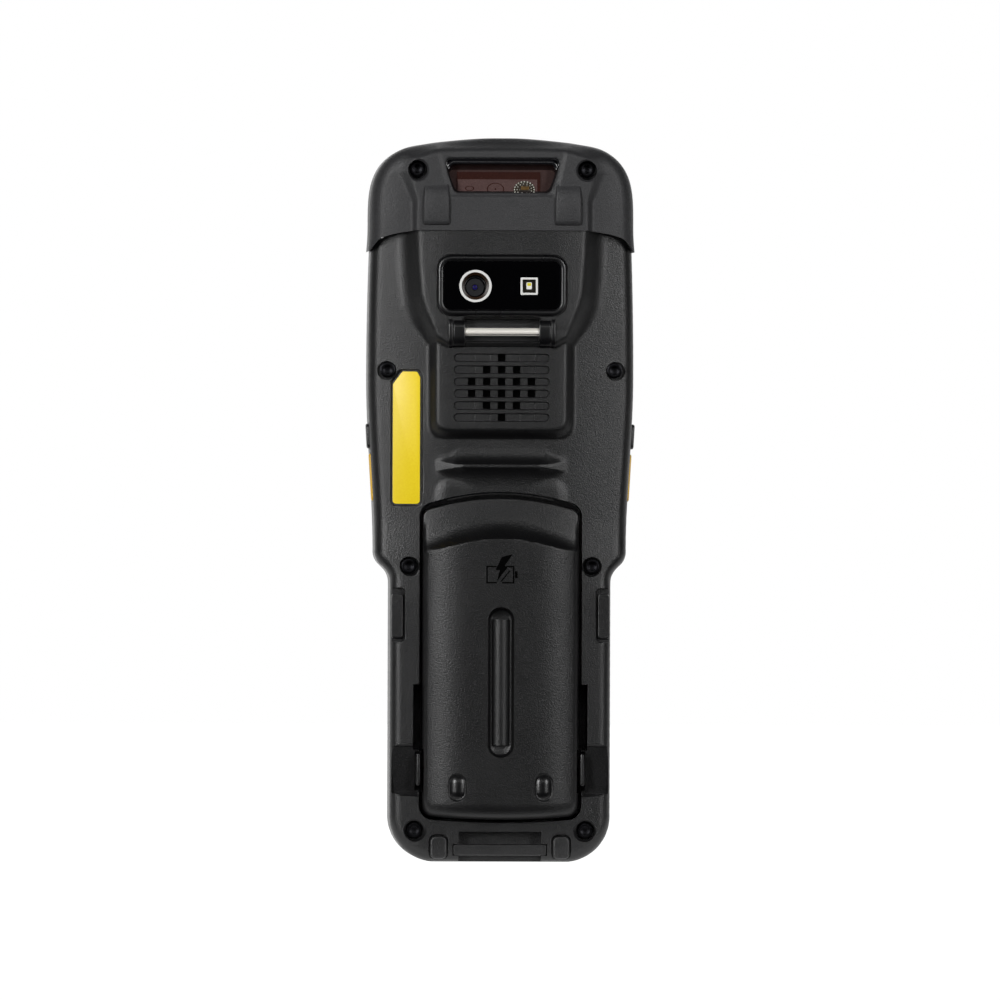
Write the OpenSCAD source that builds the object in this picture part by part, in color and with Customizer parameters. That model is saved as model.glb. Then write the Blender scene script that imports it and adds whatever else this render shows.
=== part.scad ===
// Portable data terminal: display head, keypad grip and lift-out battery.
// Stands upright on its base. X is the width, Z the length, -Y the battery side, +Y the display side.

/* [Body] */
// Overall length, base to nose
body_len = 214; // [208:1:260]
// Width across the display head
head_w = 78.6; // [76:0.1:96]
// Width across the grip
grip_w = 65.2; // [64:0.1:70]
// Height at which the grip starts to widen into the head
shoulder_z = 82.5; // [80:0.5:90]
// Radius of the two lower corners
base_r = 13.5; // [10:0.5:15]
// From the seam back to the plain back surface
rear_depth = 15.5; // [15:0.1:19]
// From the seam forward to the plain front surface
front_depth = 14; // [14:0.1:17]
// Wall of the covers
wall = 2; // [1.6:0.1:2.4]
// Rounding of the covers' long edges
edge_r = 3.5; // [2.5:0.1:4.2]

/* [Bumper] */
// Length of the nose bumper at its centre
bumper_len = 27.3; // [24:0.1:33]
// How far its corners run down the sides
skirt_drop = 5.6; // [3:0.1:7]
// How far it stands beyond the back surface
bumper_back = 2.5; // [2:0.1:3]
// How far it stands beyond the front surface
bumper_front = 2.5; // [2:0.1:3]
// How far its two rest feet stand beyond the back surface
foot_proud = 6; // [5:0.1:6.5]

/* [Battery] */
// Width of the battery
battery_w = 46.2; // [40:0.1:46.6]
// Height of its straight sides
battery_side = 91.3; // [76:0.1:92]
// Rise of its arched top
battery_arch = 3.9; // [2:0.1:5]
// Height of its lower end above the base
battery_z = 12.4; // [12:0.1:14]
// How far its belly stands beyond the back surface
battery_proud = 6; // [4:0.1:7]
// Thickness of its case
battery_wall = 1.4; // [1:0.1:1.8]
// Gap all round it in its well
battery_gap = 0.4; // [0.3:0.05:0.5]
// How far it lifts out of the well
battery_lift = 22; // [18:1:30]

/* [Fasteners] */
// Diameter of the housing screws
screw_d = 2.5; // [2:0.1:3]
// Diameter of their heads
screw_head_d = 4.6; // [4:0.1:5]
// Length under the head
screw_len = 18; // [16:0.5:19]
// Diameter of their counterbores
counterbore_d = 5.6; // [5.2:0.1:5.8]

/* [Keys] */
// Width of a number key
key_w = 14.5; // [12:0.5:15.5]
// Height of a number key
key_h = 7.4; // [6:0.1:8.4]
// Column pitch of the number keys
key_pitch_x = 18.5; // [17:0.5:19]
// Row pitch of the number keys
key_pitch_z = 10.4; // [9.6:0.1:10.6]
// How far every key stands beyond the front surface
key_proud = 1.8; // [1:0.1:2.2]
// Travel of every key on the front
key_travel = 0.7; // [0.4:0.1:0.8]
// Gap around every key
key_gap = 0.3; // [0.2:0.05:0.4]

/* [Side controls] */
// Length of a side key
side_key_len = 7.4; // [6:0.1:7.8]
// Length of a side trigger
trigger_len = 14; // [12:0.1:14.4]
// Depth of the side keys and triggers
side_depth = 5.4; // [4:0.1:6]
// Travel of the side keys and triggers
side_travel = 0.6; // [0.3:0.1:0.7]
// Travel of a battery latch
latch_travel = 0.8; // [0.5:0.1:0.9]

/* [Back fittings] */
// Diameter of the strap bar
strap_bar_d = 2.7; // [2:0.1:3.2]
// Free length of the strap bar
strap_w = 22.6; // [20:0.1:24]
// Width of the camera window
window_w = 34.4; // [32:0.1:35]
// Height of the camera window
window_h = 14.2; // [13:0.1:15]
// Rows of speaker slots
speaker_rows = 6; // [4:1:7]
// Pitch of the speaker rows
speaker_pitch = 3.53; // [3:0.01:3.6]

/* [Hidden] */
$fn = 48;

charcoal = "#2b2b2d";
rubber_grey = "#3a3a3b";
black = "#121213";
steel = "#d8d4cc";
yellow = "#f5c518";
board_green = "#1f5a3a";
gold = "#c9a227";

// How far a cut runs past the face it opens, a hairline gap between seated pieces, and a plain running gap
past = 1;
seat_gap = 0.05;
loose = 0.3;

// Depths, all in Y
y_seam = (rear_depth + max(battery_proud, foot_proud) - front_depth - bumper_front) / 2;
back_y = y_seam - rear_depth;
front_y = y_seam + front_depth;
front_in_y = front_y - wall;
back_in_y = back_y + wall;
bumper_back_y = back_y - bumper_back;
bumper_front_y = front_y + bumper_front;
plateau_y = back_y - 4;
speaker_y = back_y - 2.6;
battery_in_y = y_seam - 7;
well_floor_y = battery_in_y + loose;
well_floor_t = 1.5;
board_y = y_seam - 2.5;
board_t = 1.2;
chassis_y = y_seam + 1.5;
chassis_t = 1.2;

// Half widths and heights of the outline
grip_x = grip_w / 2;
head_x = head_w / 2;
neck_x = head_x - 2.1;
flare_r = 6;
neck_r = 5;
neck_z = shoulder_z + (neck_x - grip_x) + (sqrt(2) - 1) * (flare_r + neck_r);
bumper_z = body_len - bumper_len;
wide_z = body_len - 71;
head_taper = 0.9;

// The bumper's lower edge: distance in from the side, and how far it has dropped there
edge_steps = [[-0.2, skirt_drop], [1.9, skirt_drop * 0.8], [5.4, skirt_drop * 0.43], [8.4, skirt_drop * 0.25],
    [14.2, 0]];

function from_top(k) = body_len - k;
function smooth(t) = t <= 0 ? 0 : t >= 1 ? 1 : t * t * (3 - 2 * t);
function arc(c, r, a0, a1, n) = [for (i = [0:n]) let (a = a0 + (a1 - a0) * i / n) c + r * [cos(a), sin(a)]];
function mirrored(pts) = [for (i = [len(pts) - 1:-1:0]) [-pts[i][0], pts[i][1]]];
function both(pts) = concat(pts, mirrored(pts));
function shifted(pts, v) = [for (p = pts) p + v];

// Half width of the head at a height
function side_x(z) = z < wide_z
    ? neck_x + (head_x - neck_x) * smooth((z - neck_z) / (wide_z - neck_z))
    : head_x - head_taper * pow((z - wide_z) / (bumper_z - wide_z), 2);

// Right half of the covers' outline, drawn in by d
function cover_half(d) = concat(
    arc([grip_x - base_r, base_r], base_r - d, -90, 0, 8),
    arc([grip_x + flare_r, shoulder_z], flare_r + d, 180, 135, 4),
    arc([neck_x - neck_r, neck_z], neck_r - d, -45, 0, 4),
    [for (i = [1:8]) let (z = neck_z + (bumper_z - neck_z) * i / 8) [side_x(z) - d, z]]);

// Right half of the bumper's outline, drawn in by d: a flared side under a squarish arch
arch_power = 3.5;
arch_h = 26;
bumper_x = head_x - 0.3;
skirt_flare = 0.4;
bumper_low_z = bumper_z - skirt_drop;
function bumper_half(d) = concat(
    [for (i = [0:3]) let (t = i / 4)
        [bumper_x + skirt_flare * (1 - t) * (1 - t) - d, bumper_low_z + (from_top(arch_h) - bumper_low_z) * t]],
    [for (a = [0, 3, 7, 12, 18, 25, 33, 41, 49, 57, 65, 72, 78, 83, 87, 89.5])
        [(bumper_x - d) * pow(cos(a), 2 / arch_power), from_top(arch_h) + (arch_h - d) * pow(sin(a), 2 / arch_power)]]);

function round_rect(w, h, r) = concat(
    arc([w / 2 - r, r - h / 2], r, -90, 0, 4), arc([w / 2 - r, h / 2 - r], r, 0, 90, 4),
    arc([r - w / 2, h / 2 - r], r, 90, 180, 4), arc([r - w / 2, r - h / 2], r, 180, 270, 4));

// A solid through rings [y, right half outline], each ring closed by its mirror image
module loft(rings) {
    m = len(rings[0][1]);
    n = 2 * m;
    points = [for (r = rings) for (p = both(r[1])) [p[0], r[0], p[1]]];
    top = (len(rings) - 1) * n;
    back_cap = [for (i = [0:m - 2]) [n - 1 - i, n - 2 - i, i + 1, i]];
    front_cap = [for (i = [0:m - 2]) [top + i, top + i + 1, top + n - 2 - i, top + n - 1 - i]];
    sides = [for (k = [0:len(rings) - 2]) for (i = [0:n - 1])
        let (a = k * n + i, b = k * n + (i + 1) % n)
        for (t = [[a, b, b + n], [a, b + n, a + n]]) t];
    polyhedron(concat(points), concat(back_cap, sides, front_cap));
}

// Extrudes a shape drawn in X and Z from y0 to y1
module along_y(y0, y1) {
    translate([0, y1, 0]) rotate([90, 0, 0]) linear_extrude(y1 - y0) children();
}

module block(low, high) {
    translate(low) cube(high - low);
}

module plate(at, w, h, r, y0, y1) {
    along_y(y0, y1) translate(at) polygon(round_rect(w, h, r));
}

module both_sides() {
    children();
    mirror([1, 0, 0]) children();
}

// A rod along Y
module rod_y(x, z, r, y0, y1) {
    translate([x, y1, z]) rotate([90, 0, 0]) cylinder(r = r, h = y1 - y0);
}

// Everything on the cover side of the bumper's lower edge, a distance below it
module below_bumper(gap) {
    edge = [for (s = edge_steps) [head_x - s[0], bumper_z - s[1] - gap]];
    low = concat([[head_x + 9, edge[0][1]]], edge);
    along_y(back_y - 30, front_y + 30) polygon(concat(low, mirrored(low), [[-head_x - 9, -9], [head_x + 9, -9]]));
}

// Screws, right-hand places only
head_screw = [head_x - 5.7, from_top(68.6)];
shoulder_screw = [grip_x - 5.5, shoulder_z + 4.9];
base_screw = [grip_x - 7.3, 9.3];
bumper_screw = [25.1, from_top(9.2)];
cover_screws = [head_screw, shoulder_screw, base_screw];
screw_seat_y = back_y + 3;
bumper_seat_y = bumper_back_y + 3;
boss_r = counterbore_d / 2 + 0.9;
pillar_r = 3;
pillar_step_r = 4;

module screw(at, seat_y) {
    head_h = 1.8;
    rod_y(at[0], at[1], screw_d / 2 - 0.05, seat_y - seat_gap, seat_y + screw_len);
    difference() {
        rod_y(at[0], at[1], screw_head_d / 2, seat_y - seat_gap - head_h, seat_y - seat_gap);
        along_y(seat_y - head_h - past, seat_y - head_h + 0.9) translate(at) circle(r = 1.1, $fn = 6);
    }
}

module screw_hole(at, seat_y, open_y) {
    rod_y(at[0], at[1], counterbore_d / 2, open_y - past, seat_y);
    rod_y(at[0], at[1], screw_d / 2 + 0.15, seat_y - past, y_seam + past);
}

// The battery's outline in X and Z, grown by g
battery_x = battery_w / 2;
battery_top_z = battery_z + battery_side + battery_arch;
battery_foot_r = 2.4;
arch_r = (battery_x * battery_x + battery_arch * battery_arch) / (2 * battery_arch);
module battery_outline(g) {
    x = battery_x + g;
    c = battery_top_z - arch_r;
    a = asin(x / (arch_r + g));
    half = concat(
        arc([x - battery_foot_r - g, battery_z + battery_foot_r], battery_foot_r + g, -90, 0, 4),
        arc([0, c], arch_r + g, 90 - a, 90, 7));
    polygon(concat(half, mirrored([for (i = [0:len(half) - 2]) half[i]])));
}

// Latch places, right side
latch_z = 21.3;
latch_h = 11;
latch_x = battery_x - 0.3;
latch_t = 2.1;
panel_z = [19.6, 34.1];
slot_z = [34.1, 52.5];
slot_x = battery_x + 2.7;
notch_x = latch_x - latch_travel - loose;

// Fittings on the back
insert_z = [66.1, 79.1];
insert_x = [grip_x - 4, grip_x - 1];
pad_z = [0.9, 7.7];
pad_x = [15.6, 20.7];
strap_slot_x = 12.2;
strap_slot_z = 8.9;
strap_slot_y = back_y + 4.5;
lower_bar_z = [1.8, 5.3];
lower_bar_x = 14;
strap_z = from_top(57.35);
strap_bar_y = plateau_y + 0.8;
lug_x = strap_w / 2;
lug_t = 4.9;
label_y = back_y + 0.1;
label_outline = [[-head_x + 7.3, from_top(108.2)], [-head_x + 15.3, from_top(108.2)],
    [-head_x + 15.3, from_top(82)], [-head_x + 15, from_top(69.1)], [-head_x + 10, from_top(69.1)],
    [-head_x + 7.3, from_top(72.9)]];

camera_at = [-7.9, from_top(43.6)];
flash_at = [8.1, from_top(43.6)];
window_at = [0, from_top(43.6)];
bezel_rim = 2;
bezel_y = plateau_y - 0.8;
bezel_floor_y = plateau_y + 0.6;
speaker_at = [0, from_top(73.8)];
speaker_w = 28;
speaker_floor_y = back_y - 0.4;

// Right half of the camera block, at its top face and at its foot
camera_top = [[15.4, 60.8], [18.9, 57.5], [20.5, 52.2], [22.2, 48.3], [23.1, 45.6], [24, 32], [24.6, 20]];
camera_foot = [[16.4, 63.5], [21.4, 60.5], [23.6, 56.6], [25.6, 54.2], [27.2, 50.5], [28.8, 40], [29.4, 20]];
function hung(pts) = [for (p = pts) [p[0], from_top(p[1])]];
speaker_top = [[14, 85.6], [17.2, 83.5], [17.2, 64.5], [14, 62.4]];
speaker_foot = [[18, 88], [20.9, 86], [20.9, 62], [18, 60]];

// Side controls, all in the right-hand side wall
side_y = y_seam - 5.5;
side_key_z = from_top(88.2);
trigger_z = from_top(100.4);

module rear_shell() {
    rings = concat(
        [for (i = [0:4]) let (a = 90 * i / 4) [back_y + edge_r * (1 - cos(a)), cover_half(edge_r * (1 - sin(a)))]],
        [[y_seam, cover_half(0)]]);
    intersection() {
        loft(rings);
        below_bumper(seat_gap);
    }
}

// What stays solid inside the rear cover
module rear_inner_solids() {
    along_y(back_y, well_floor_y + well_floor_t) battery_outline(battery_gap + 1.6);
    both_sides() {
        for (at = cover_screws) rod_y(at[0], at[1], boss_r, back_y, y_seam);
        block([battery_x, back_y, panel_z[0] - wall], [grip_x, back_y + 2.5 + wall, panel_z[1] + wall]);
        block([battery_x, back_y, latch_z - wall], [latch_x + latch_t + loose + wall, back_y + 7, slot_z[1] + wall]);
        block([insert_x[0] - wall, back_y, insert_z[0] - wall],
            [insert_x[1] + wall, back_y + 1.8 + wall, insert_z[1] + wall]);
        block([lug_x - wall, back_y, strap_z - 6], [lug_x + lug_t, back_y + 3, strap_z + 5]);
    }
    block([-lower_bar_x - wall, back_y, -past], [lower_bar_x + wall, strap_slot_y + wall, strap_slot_z + wall]);
    block([-lug_x - past, back_y, strap_z - 6], [lug_x + past, back_y + 2.4, strap_z + 5]);
}

module speaker_grille() {
    slot_h = 2.13;
    hole_pitch = 4.42;
    middle = (speaker_rows - 1) / 2;
    for (i = [0:speaker_rows - 1]) {
        z = speaker_at[1] + (i - middle) * speaker_pitch;
        plate([0, z], speaker_w, slot_h, 0.9, speaker_y - past, speaker_y + 0.9);
        side = floor(min(i, speaker_rows - 1 - i));
        for (k = [-side:side]) {
            block([k * hole_pitch - slot_h / 2, speaker_y, z - slot_h / 2],
                [k * hole_pitch + slot_h / 2, speaker_floor_y + past, z + slot_h / 2]);
        }
    }
}

module rear_raised() {
    intersection() {
        loft([[plateau_y, hung(camera_top)], [back_y + 0.5, hung(camera_foot)]]);
        below_bumper(seat_gap);
    }
    loft([[speaker_y, hung(speaker_top)], [back_y + 0.5, hung(speaker_foot)]]);
    ridge_z = from_top(96.5);
    translate([-19, 0, 0]) rotate([90, 0, 90]) linear_extrude(38)
        polygon([[back_y + 0.5, ridge_z - 3.4], [back_y - 1.2, ridge_z - 0.3], [back_y - 1.2, ridge_z + 0.3],
            [back_y + 0.5, ridge_z + 3.6]]);
    intersection() {
        along_y(back_y - 1.5, back_y + 0.5) difference() {
            battery_outline(4.2);
            battery_outline(battery_gap);
        }
        block([-battery_x + 2, back_y - 5, battery_z + battery_side], [battery_x - 2, back_y + 5, from_top(60)]);
    }
    both_sides() plate([lug_x + lug_t / 2, strap_z - 0.4], lug_t, 8.4, 1, plateau_y - 1, back_y + 0.5);
}

module rear_cuts() {
    along_y(back_y - 9, well_floor_y) battery_outline(battery_gap);
    both_sides() {
        for (at = cover_screws) screw_hole(at, screw_seat_y, back_y);
        block([latch_x + latch_t - 0.7, back_y - past, panel_z[0]], [head_x, back_y + 2.5, panel_z[1]]);
        block([battery_x, back_y - past, latch_z - loose],
            [latch_x + latch_t + loose, back_y + 5, latch_z + latch_h + loose]);
        block([battery_x, back_y - past, slot_z[0]], [slot_x, back_y + 5, slot_z[1]]);
        block([insert_x[0] - 0.2, back_y - past, insert_z[0] - 1.2],
            [insert_x[1] + 0.2, back_y + 1.6, insert_z[1] + 1.9]);
        block([pad_x[0] - 0.1, back_y - past, pad_z[0] - past], [pad_x[1] + 0.1, back_y + 1, pad_z[1] + 0.1]);
        side_window(side_key_len, side_key_z);
        side_window(trigger_len, trigger_z);
    }
    block([-strap_slot_x, back_y - past, -past], [strap_slot_x, strap_slot_y, strap_slot_z]);
    block([-lower_bar_x, back_y - past, lower_bar_z[0]], [lower_bar_x, back_y + 2, lower_bar_z[1]]);
    block([-lug_x, plateau_y - past, strap_z - 5.2], [lug_x, back_y + 0.8, strap_z + 3.2]);
    rod_x(strap_bar_d / 2 + seat_gap, lug_x + 2.5 + seat_gap);
    along_y(back_y - past, label_y + 0.25) offset_label(0.4);
    plate(window_at, window_w + 2 * bezel_rim + 0.1, window_h + 2 * bezel_rim + 0.1, 4.1, plateau_y - past,
        bezel_floor_y);
    rod_y(camera_at[0], camera_at[1], 4.6, plateau_y, back_in_y + past);
    plate(flash_at, 5.8, 5.8, 0.4, plateau_y, back_in_y + past);
    block([-15, plateau_y + 2.2, from_top(51)], [15, back_in_y + past, from_top(36)]);
    speaker_grille();
    block([-speaker_w / 2 - 1, speaker_floor_y, from_top(85)], [speaker_w / 2 + 1, back_in_y + past, from_top(62.6)]);
    block([-8.2, well_floor_y - past, 16], [8.2, well_floor_y + well_floor_t + past, 22]);
    along_y(y_seam - 0.65, y_seam + past) difference() {
        polygon(both(cover_half(0.65)));
        polygon(both(cover_half(1.35)));
    }
}

module offset_label(g) {
    grown = [[-g, -g], [g, -g], [g, 0], [g, g], [-g / 2, g], [-g, g / 2]];
    polygon([for (i = [0:len(label_outline) - 1]) label_outline[i] + grown[i]]);
}

module rod_x(r, half) {
    translate([-half, strap_bar_y, strap_z]) rotate([0, 90, 0]) cylinder(r = r, h = 2 * half);
}

// A hole through the right-hand wall for a side key or trigger
module side_window(length, z) {
    block([side_x(z) - 5, side_y - side_depth / 2 - key_gap, z - length / 2 - key_gap],
        [head_x + past, side_y + side_depth / 2 + key_gap, z + length / 2 + key_gap]);
}

module rear_cover() {
    color(charcoal) difference() {
        union() {
            difference() {
                rear_shell();
                difference() {
                    along_y(back_in_y, y_seam + past) polygon(both(cover_half(wall)));
                    rear_inner_solids();
                }
                along_y(back_in_y, y_seam + past)
                    polygon([[-head_x + wall + 2, bumper_z - 8], [head_x - wall - 2, bumper_z - 8],
                        [head_x - wall - 2, bumper_z + 9], [-head_x + wall + 2, bumper_z + 9]]);
            }
            rear_raised();
        }
        rear_cuts();
    }
}

// Display and keypad places on the front
glass_x = head_x - 5;
glass_z = [neck_z + 3.5, bumper_z - skirt_drop - 0.6];
glass_t = 1.1;
ledge_y = front_y - glass_t - 0.2;
lcd_x = glass_x - 5;
lcd_z = [glass_z[0] + 6, glass_z[1] - 5];
dome_y = y_seam + 7.1;
flange_y = front_in_y - loose;

// Each key: name, place, width, height, corner radius
flange_w = 0.8;
row_z = 20.6;
nav_z = row_z + 4 * key_pitch_z + 4;
scan_z = nav_z + 12.8;
// Left and right on the keypad are as seen from the front, so left is towards +X
soft_key_x = 19.6;
side_fn_x = 21.4;
keys = [
    ["key_scan", [0, scan_z], 21, 9, 3.5], ["key_soft_left", [soft_key_x, scan_z], 12, 6.4, 2],
    ["key_soft_right", [-soft_key_x, scan_z], 12, 6.4, 2], ["key_nav", [0, nav_z], 25, 12.4, 6],
    ["key_back", [side_fn_x, nav_z], 11.6, 8, 2.5], ["key_enter", [-side_fn_x, nav_z], 11.6, 8, 2.5],
    ["key_power", [0, row_z - 10.2], 9, 5, 2.4],
    ["key_1", grid(0, 3), key_w, key_h, 2.2], ["key_2", grid(1, 3), key_w, key_h, 2.2],
    ["key_3", grid(2, 3), key_w, key_h, 2.2], ["key_4", grid(0, 2), key_w, key_h, 2.2],
    ["key_5", grid(1, 2), key_w, key_h, 2.2], ["key_6", grid(2, 2), key_w, key_h, 2.2],
    ["key_7", grid(0, 1), key_w, key_h, 2.2], ["key_8", grid(1, 1), key_w, key_h, 2.2],
    ["key_9", grid(2, 1), key_w, key_h, 2.2], ["key_star", grid(0, 0), key_w, key_h, 2.2],
    ["key_0", grid(1, 0), key_w, key_h, 2.2], ["key_hash", grid(2, 0), key_w, key_h, 2.2]];
function grid(column, row) = [(1 - column) * key_pitch_x, row_z + row * key_pitch_z];

module front_cover() {
    color(charcoal) difference() {
        union() {
            difference() {
                intersection() {
                    loft(concat([[y_seam, cover_half(0)]],
                        [for (i = [4:-1:0]) let (a = 90 * i / 4)
                            [front_y - edge_r * (1 - cos(a)), cover_half(edge_r * (1 - sin(a)))]]));
                    below_bumper(seat_gap);
                }
                along_y(y_seam - past, front_in_y) polygon(both(cover_half(wall)));
                along_y(y_seam - past, front_in_y)
                    polygon([[-head_x + wall + 2, bumper_z - 8], [head_x - wall - 2, bumper_z - 8],
                        [head_x - wall - 2, bumper_z + 9], [-head_x + wall + 2, bumper_z + 9]]);
            }
            both_sides() for (at = cover_screws) {
                rod_y(at[0], at[1], pillar_r, y_seam, front_in_y + 0.5);
                rod_y(at[0], at[1], pillar_step_r, chassis_y + chassis_t, front_in_y + 0.5);
            }
        }
        both_sides() for (at = cover_screws)
            rod_y(at[0], at[1], screw_d / 2, y_seam - past, screw_seat_y + screw_len + past);
        plate([0, (glass_z[0] + glass_z[1]) / 2], 2 * glass_x + 0.2, glass_z[1] - glass_z[0] + 0.2, 4, ledge_y,
            front_y + past);
        plate([0, (lcd_z[0] + lcd_z[1]) / 2], 2 * lcd_x + 0.3, lcd_z[1] - lcd_z[0] + 0.3, 0.6, front_in_y - past,
            front_y);
        for (k = keys) plate(k[1], k[2] + 2 * key_gap, k[3] + 2 * key_gap, k[4] + key_gap, front_in_y - past,
            front_y + past);
        block([-dock_x - 0.1, dock_y[0] - 0.1, -past], [dock_x + 0.1, dock_y[1] + 0.1, 2 * wall]);
    }
}

dock_x = 11;
dock_y = [y_seam + 2, y_seam + 8];

// The raised centre of the bumper's back, and its two feet
bumper_mid_y = bumper_back_y - 2;
bumper_mid_top = [[25.4, bumper_len + past], [24.9, 20], [26.6, 12], [24, 4.8], [14, 3.4]];
bumper_mid_foot = [[28.6, bumper_len + past], [28.4, 20], [30.4, 11], [27, 3.6], [16, 2]];
window_half = [[14.8, 15.7], [16.7, 6.4]];
pane_y = bumper_back_y + 1.1;
pane_t = 1.2;
bumper_wall = 3.5;

module window_shape(grow) {
    half = [for (p = hung(window_half)) [p[0] + grow, p[1] + (p[1] > from_top(10) ? grow : -grow)]];
    polygon(both(half));
}

module top_bumper() {
    round_r = 4;
    color(rubber_grey) difference() {
        union() {
            loft(concat(
                [for (i = [0:4]) let (a = 90 * i / 4)
                    [bumper_back_y + round_r * (1 - cos(a)), bumper_half(round_r * (1 - sin(a)))]],
                [for (i = [4:-1:0]) let (a = 90 * i / 4)
                    [bumper_front_y - round_r * (1 - cos(a)), bumper_half(round_r * (1 - sin(a)))]]));
            loft([[bumper_mid_y, hung(bumper_mid_top)], [bumper_back_y + 0.5, hung(bumper_mid_foot)]]);
            both_sides() plate([19.3, from_top(19.7)], 7.7, 12.2, 1.4, back_y - foot_proud, bumper_back_y);
        }
        below_bumper(0);
        difference() {
            intersection() {
                along_y(bumper_back_y + bumper_wall, bumper_front_y - bumper_wall)
                    polygon(both(bumper_half(2.4)));
                block([-head_x, back_y - 9, bumper_z - skirt_drop - past], [head_x, front_y + 9, body_len]);
            }
            both_sides() rod_y(bumper_screw[0], bumper_screw[1], boss_r, bumper_back_y, bumper_seat_y + 3.3);
        }
        both_sides() {
            rod_y(bumper_screw[0], bumper_screw[1], counterbore_d / 2, bumper_mid_y - past, bumper_seat_y);
            rod_y(bumper_screw[0], bumper_screw[1], screw_d / 2 + 0.15, bumper_seat_y - past, bumper_seat_y + 5);
        }
        along_y(bumper_mid_y - past, pane_y + pane_t + seat_gap) window_shape(0.05);
        along_y(pane_y, bumper_back_y + bumper_wall + past) window_shape(-1);
        plate([0, from_top(12)], 14, 1.6, 0.7, bumper_front_y - bumper_wall - past, bumper_front_y + past);
    }
}

module scan_window() {
    color("#4a2a24", 0.7) along_y(pane_y, pane_y + pane_t) window_shape(0);
}

module camera_bezel() {
    color(black) difference() {
        plate(window_at, window_w + 2 * bezel_rim, window_h + 2 * bezel_rim, 4, bezel_y, bezel_floor_y - seat_gap);
        plate(window_at, window_w + 0.1, window_h + 0.1, 2.4, bezel_y - past, bezel_y + 1.2);
        rod_y(camera_at[0], camera_at[1], 4.6, bezel_y, back_y);
        plate(flash_at, 5.8, 5.8, 0.4, bezel_y, back_y);
    }
}

module camera_window() {
    color(black, 0.6) plate(window_at, window_w, window_h, 2.35, bezel_y + 0.3, bezel_y + 1.15);
}

module camera_module() {
    color("#e8e8e8") difference() {
        union() {
            rod_y(camera_at[0], camera_at[1], 4.5, bezel_y + 1.2, back_y + 1);
            block([camera_at[0] - 4.4, plateau_y + 3, camera_at[1] - 4.4], [camera_at[0] + 4.4, back_y + 5, camera_at[1] + 4.4]);
        }
        rod_y(camera_at[0], camera_at[1], 3.4, bezel_y, bezel_y + 2.4);
    }
    color(black) rod_y(camera_at[0], camera_at[1], 3.3, bezel_y + 1.5, bezel_y + 2.4);
}

module flash_led() {
    color("white") difference() {
        plate(flash_at, 5.6, 5.6, 0.3, bezel_y + 1.2, back_y + 1);
        plate(flash_at, 3.6, 3.6, 0.2, bezel_y, bezel_y + 2.2);
    }
    color(yellow) plate(flash_at, 2.1, 2.2, 0.2, bezel_y + 1.7, bezel_y + 2.2);
}

module strap_bar() {
    color(steel) rod_x(strap_bar_d / 2, lug_x + 2.5);
}

module speaker_mesh() {
    color(black) block([-speaker_w / 2 - 0.8, speaker_floor_y + seat_gap, from_top(84.8)],
        [speaker_w / 2 + 0.8, speaker_floor_y + 0.25, from_top(62.8)]);
}

module speaker() {
    color("#444444") {
        block([-speaker_w / 2, speaker_floor_y + 0.3, from_top(84.2)], [speaker_w / 2, back_y + 4.6, from_top(63.4)]);
        rod_y(0, speaker_at[1], 8, back_y + 4.5, back_y + 6.6);
    }
}

module blank_label() {
    color(yellow) along_y(label_y, label_y + 0.22) offset_label(0);
}

module side_inserts() {
    color(black) both_sides()
        plate([(insert_x[0] + insert_x[1]) / 2, (insert_z[0] + insert_z[1]) / 2], insert_x[1] - insert_x[0],
            insert_z[1] - insert_z[0], 0.6, back_y + 0.5, back_y + 1.6 - seat_gap);
}

module base_pads() {
    color(black) both_sides()
        plate([(pad_x[0] + pad_x[1]) / 2, (pad_z[0] + pad_z[1]) / 2], pad_x[1] - pad_x[0], pad_z[1] - pad_z[0], 1,
            back_y - 0.8, back_y + 1 - seat_gap);
}

module lower_bar() {
    color(charcoal) plate([0, (lower_bar_z[0] + lower_bar_z[1]) / 2], 2 * lower_bar_x - 0.1,
        lower_bar_z[1] - lower_bar_z[0] - 0.1, 0.7, back_y, back_y + 2 - seat_gap);
}

module dock_connector() {
    contact_pitch = 2;
    color(black) difference() {
        block([-dock_x, dock_y[0], 0.4], [dock_x, dock_y[1], 7]);
        block([-dock_x + 1.2, dock_y[0] + 1.2, 0], [dock_x - 1.2, dock_y[1] - 1.2, 1.6]);
    }
    color(gold) for (i = [-4:4])
        translate([i * contact_pitch, (dock_y[0] + dock_y[1]) / 2, 0.9]) cylinder(d = 1, h = 1);
}

module housing_screws() {
    color("#1a1a1b") both_sides() {
        for (at = cover_screws) screw(at, screw_seat_y);
        screw(bumper_screw, bumper_seat_y);
    }
}

module seam_gasket() {
    color(black) intersection() {
        along_y(y_seam - 0.6, y_seam - seat_gap) difference() {
            polygon(both(cover_half(0.7)));
            polygon(both(cover_half(1.3)));
        }
        below_bumper(1.5);
    }
}

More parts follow.
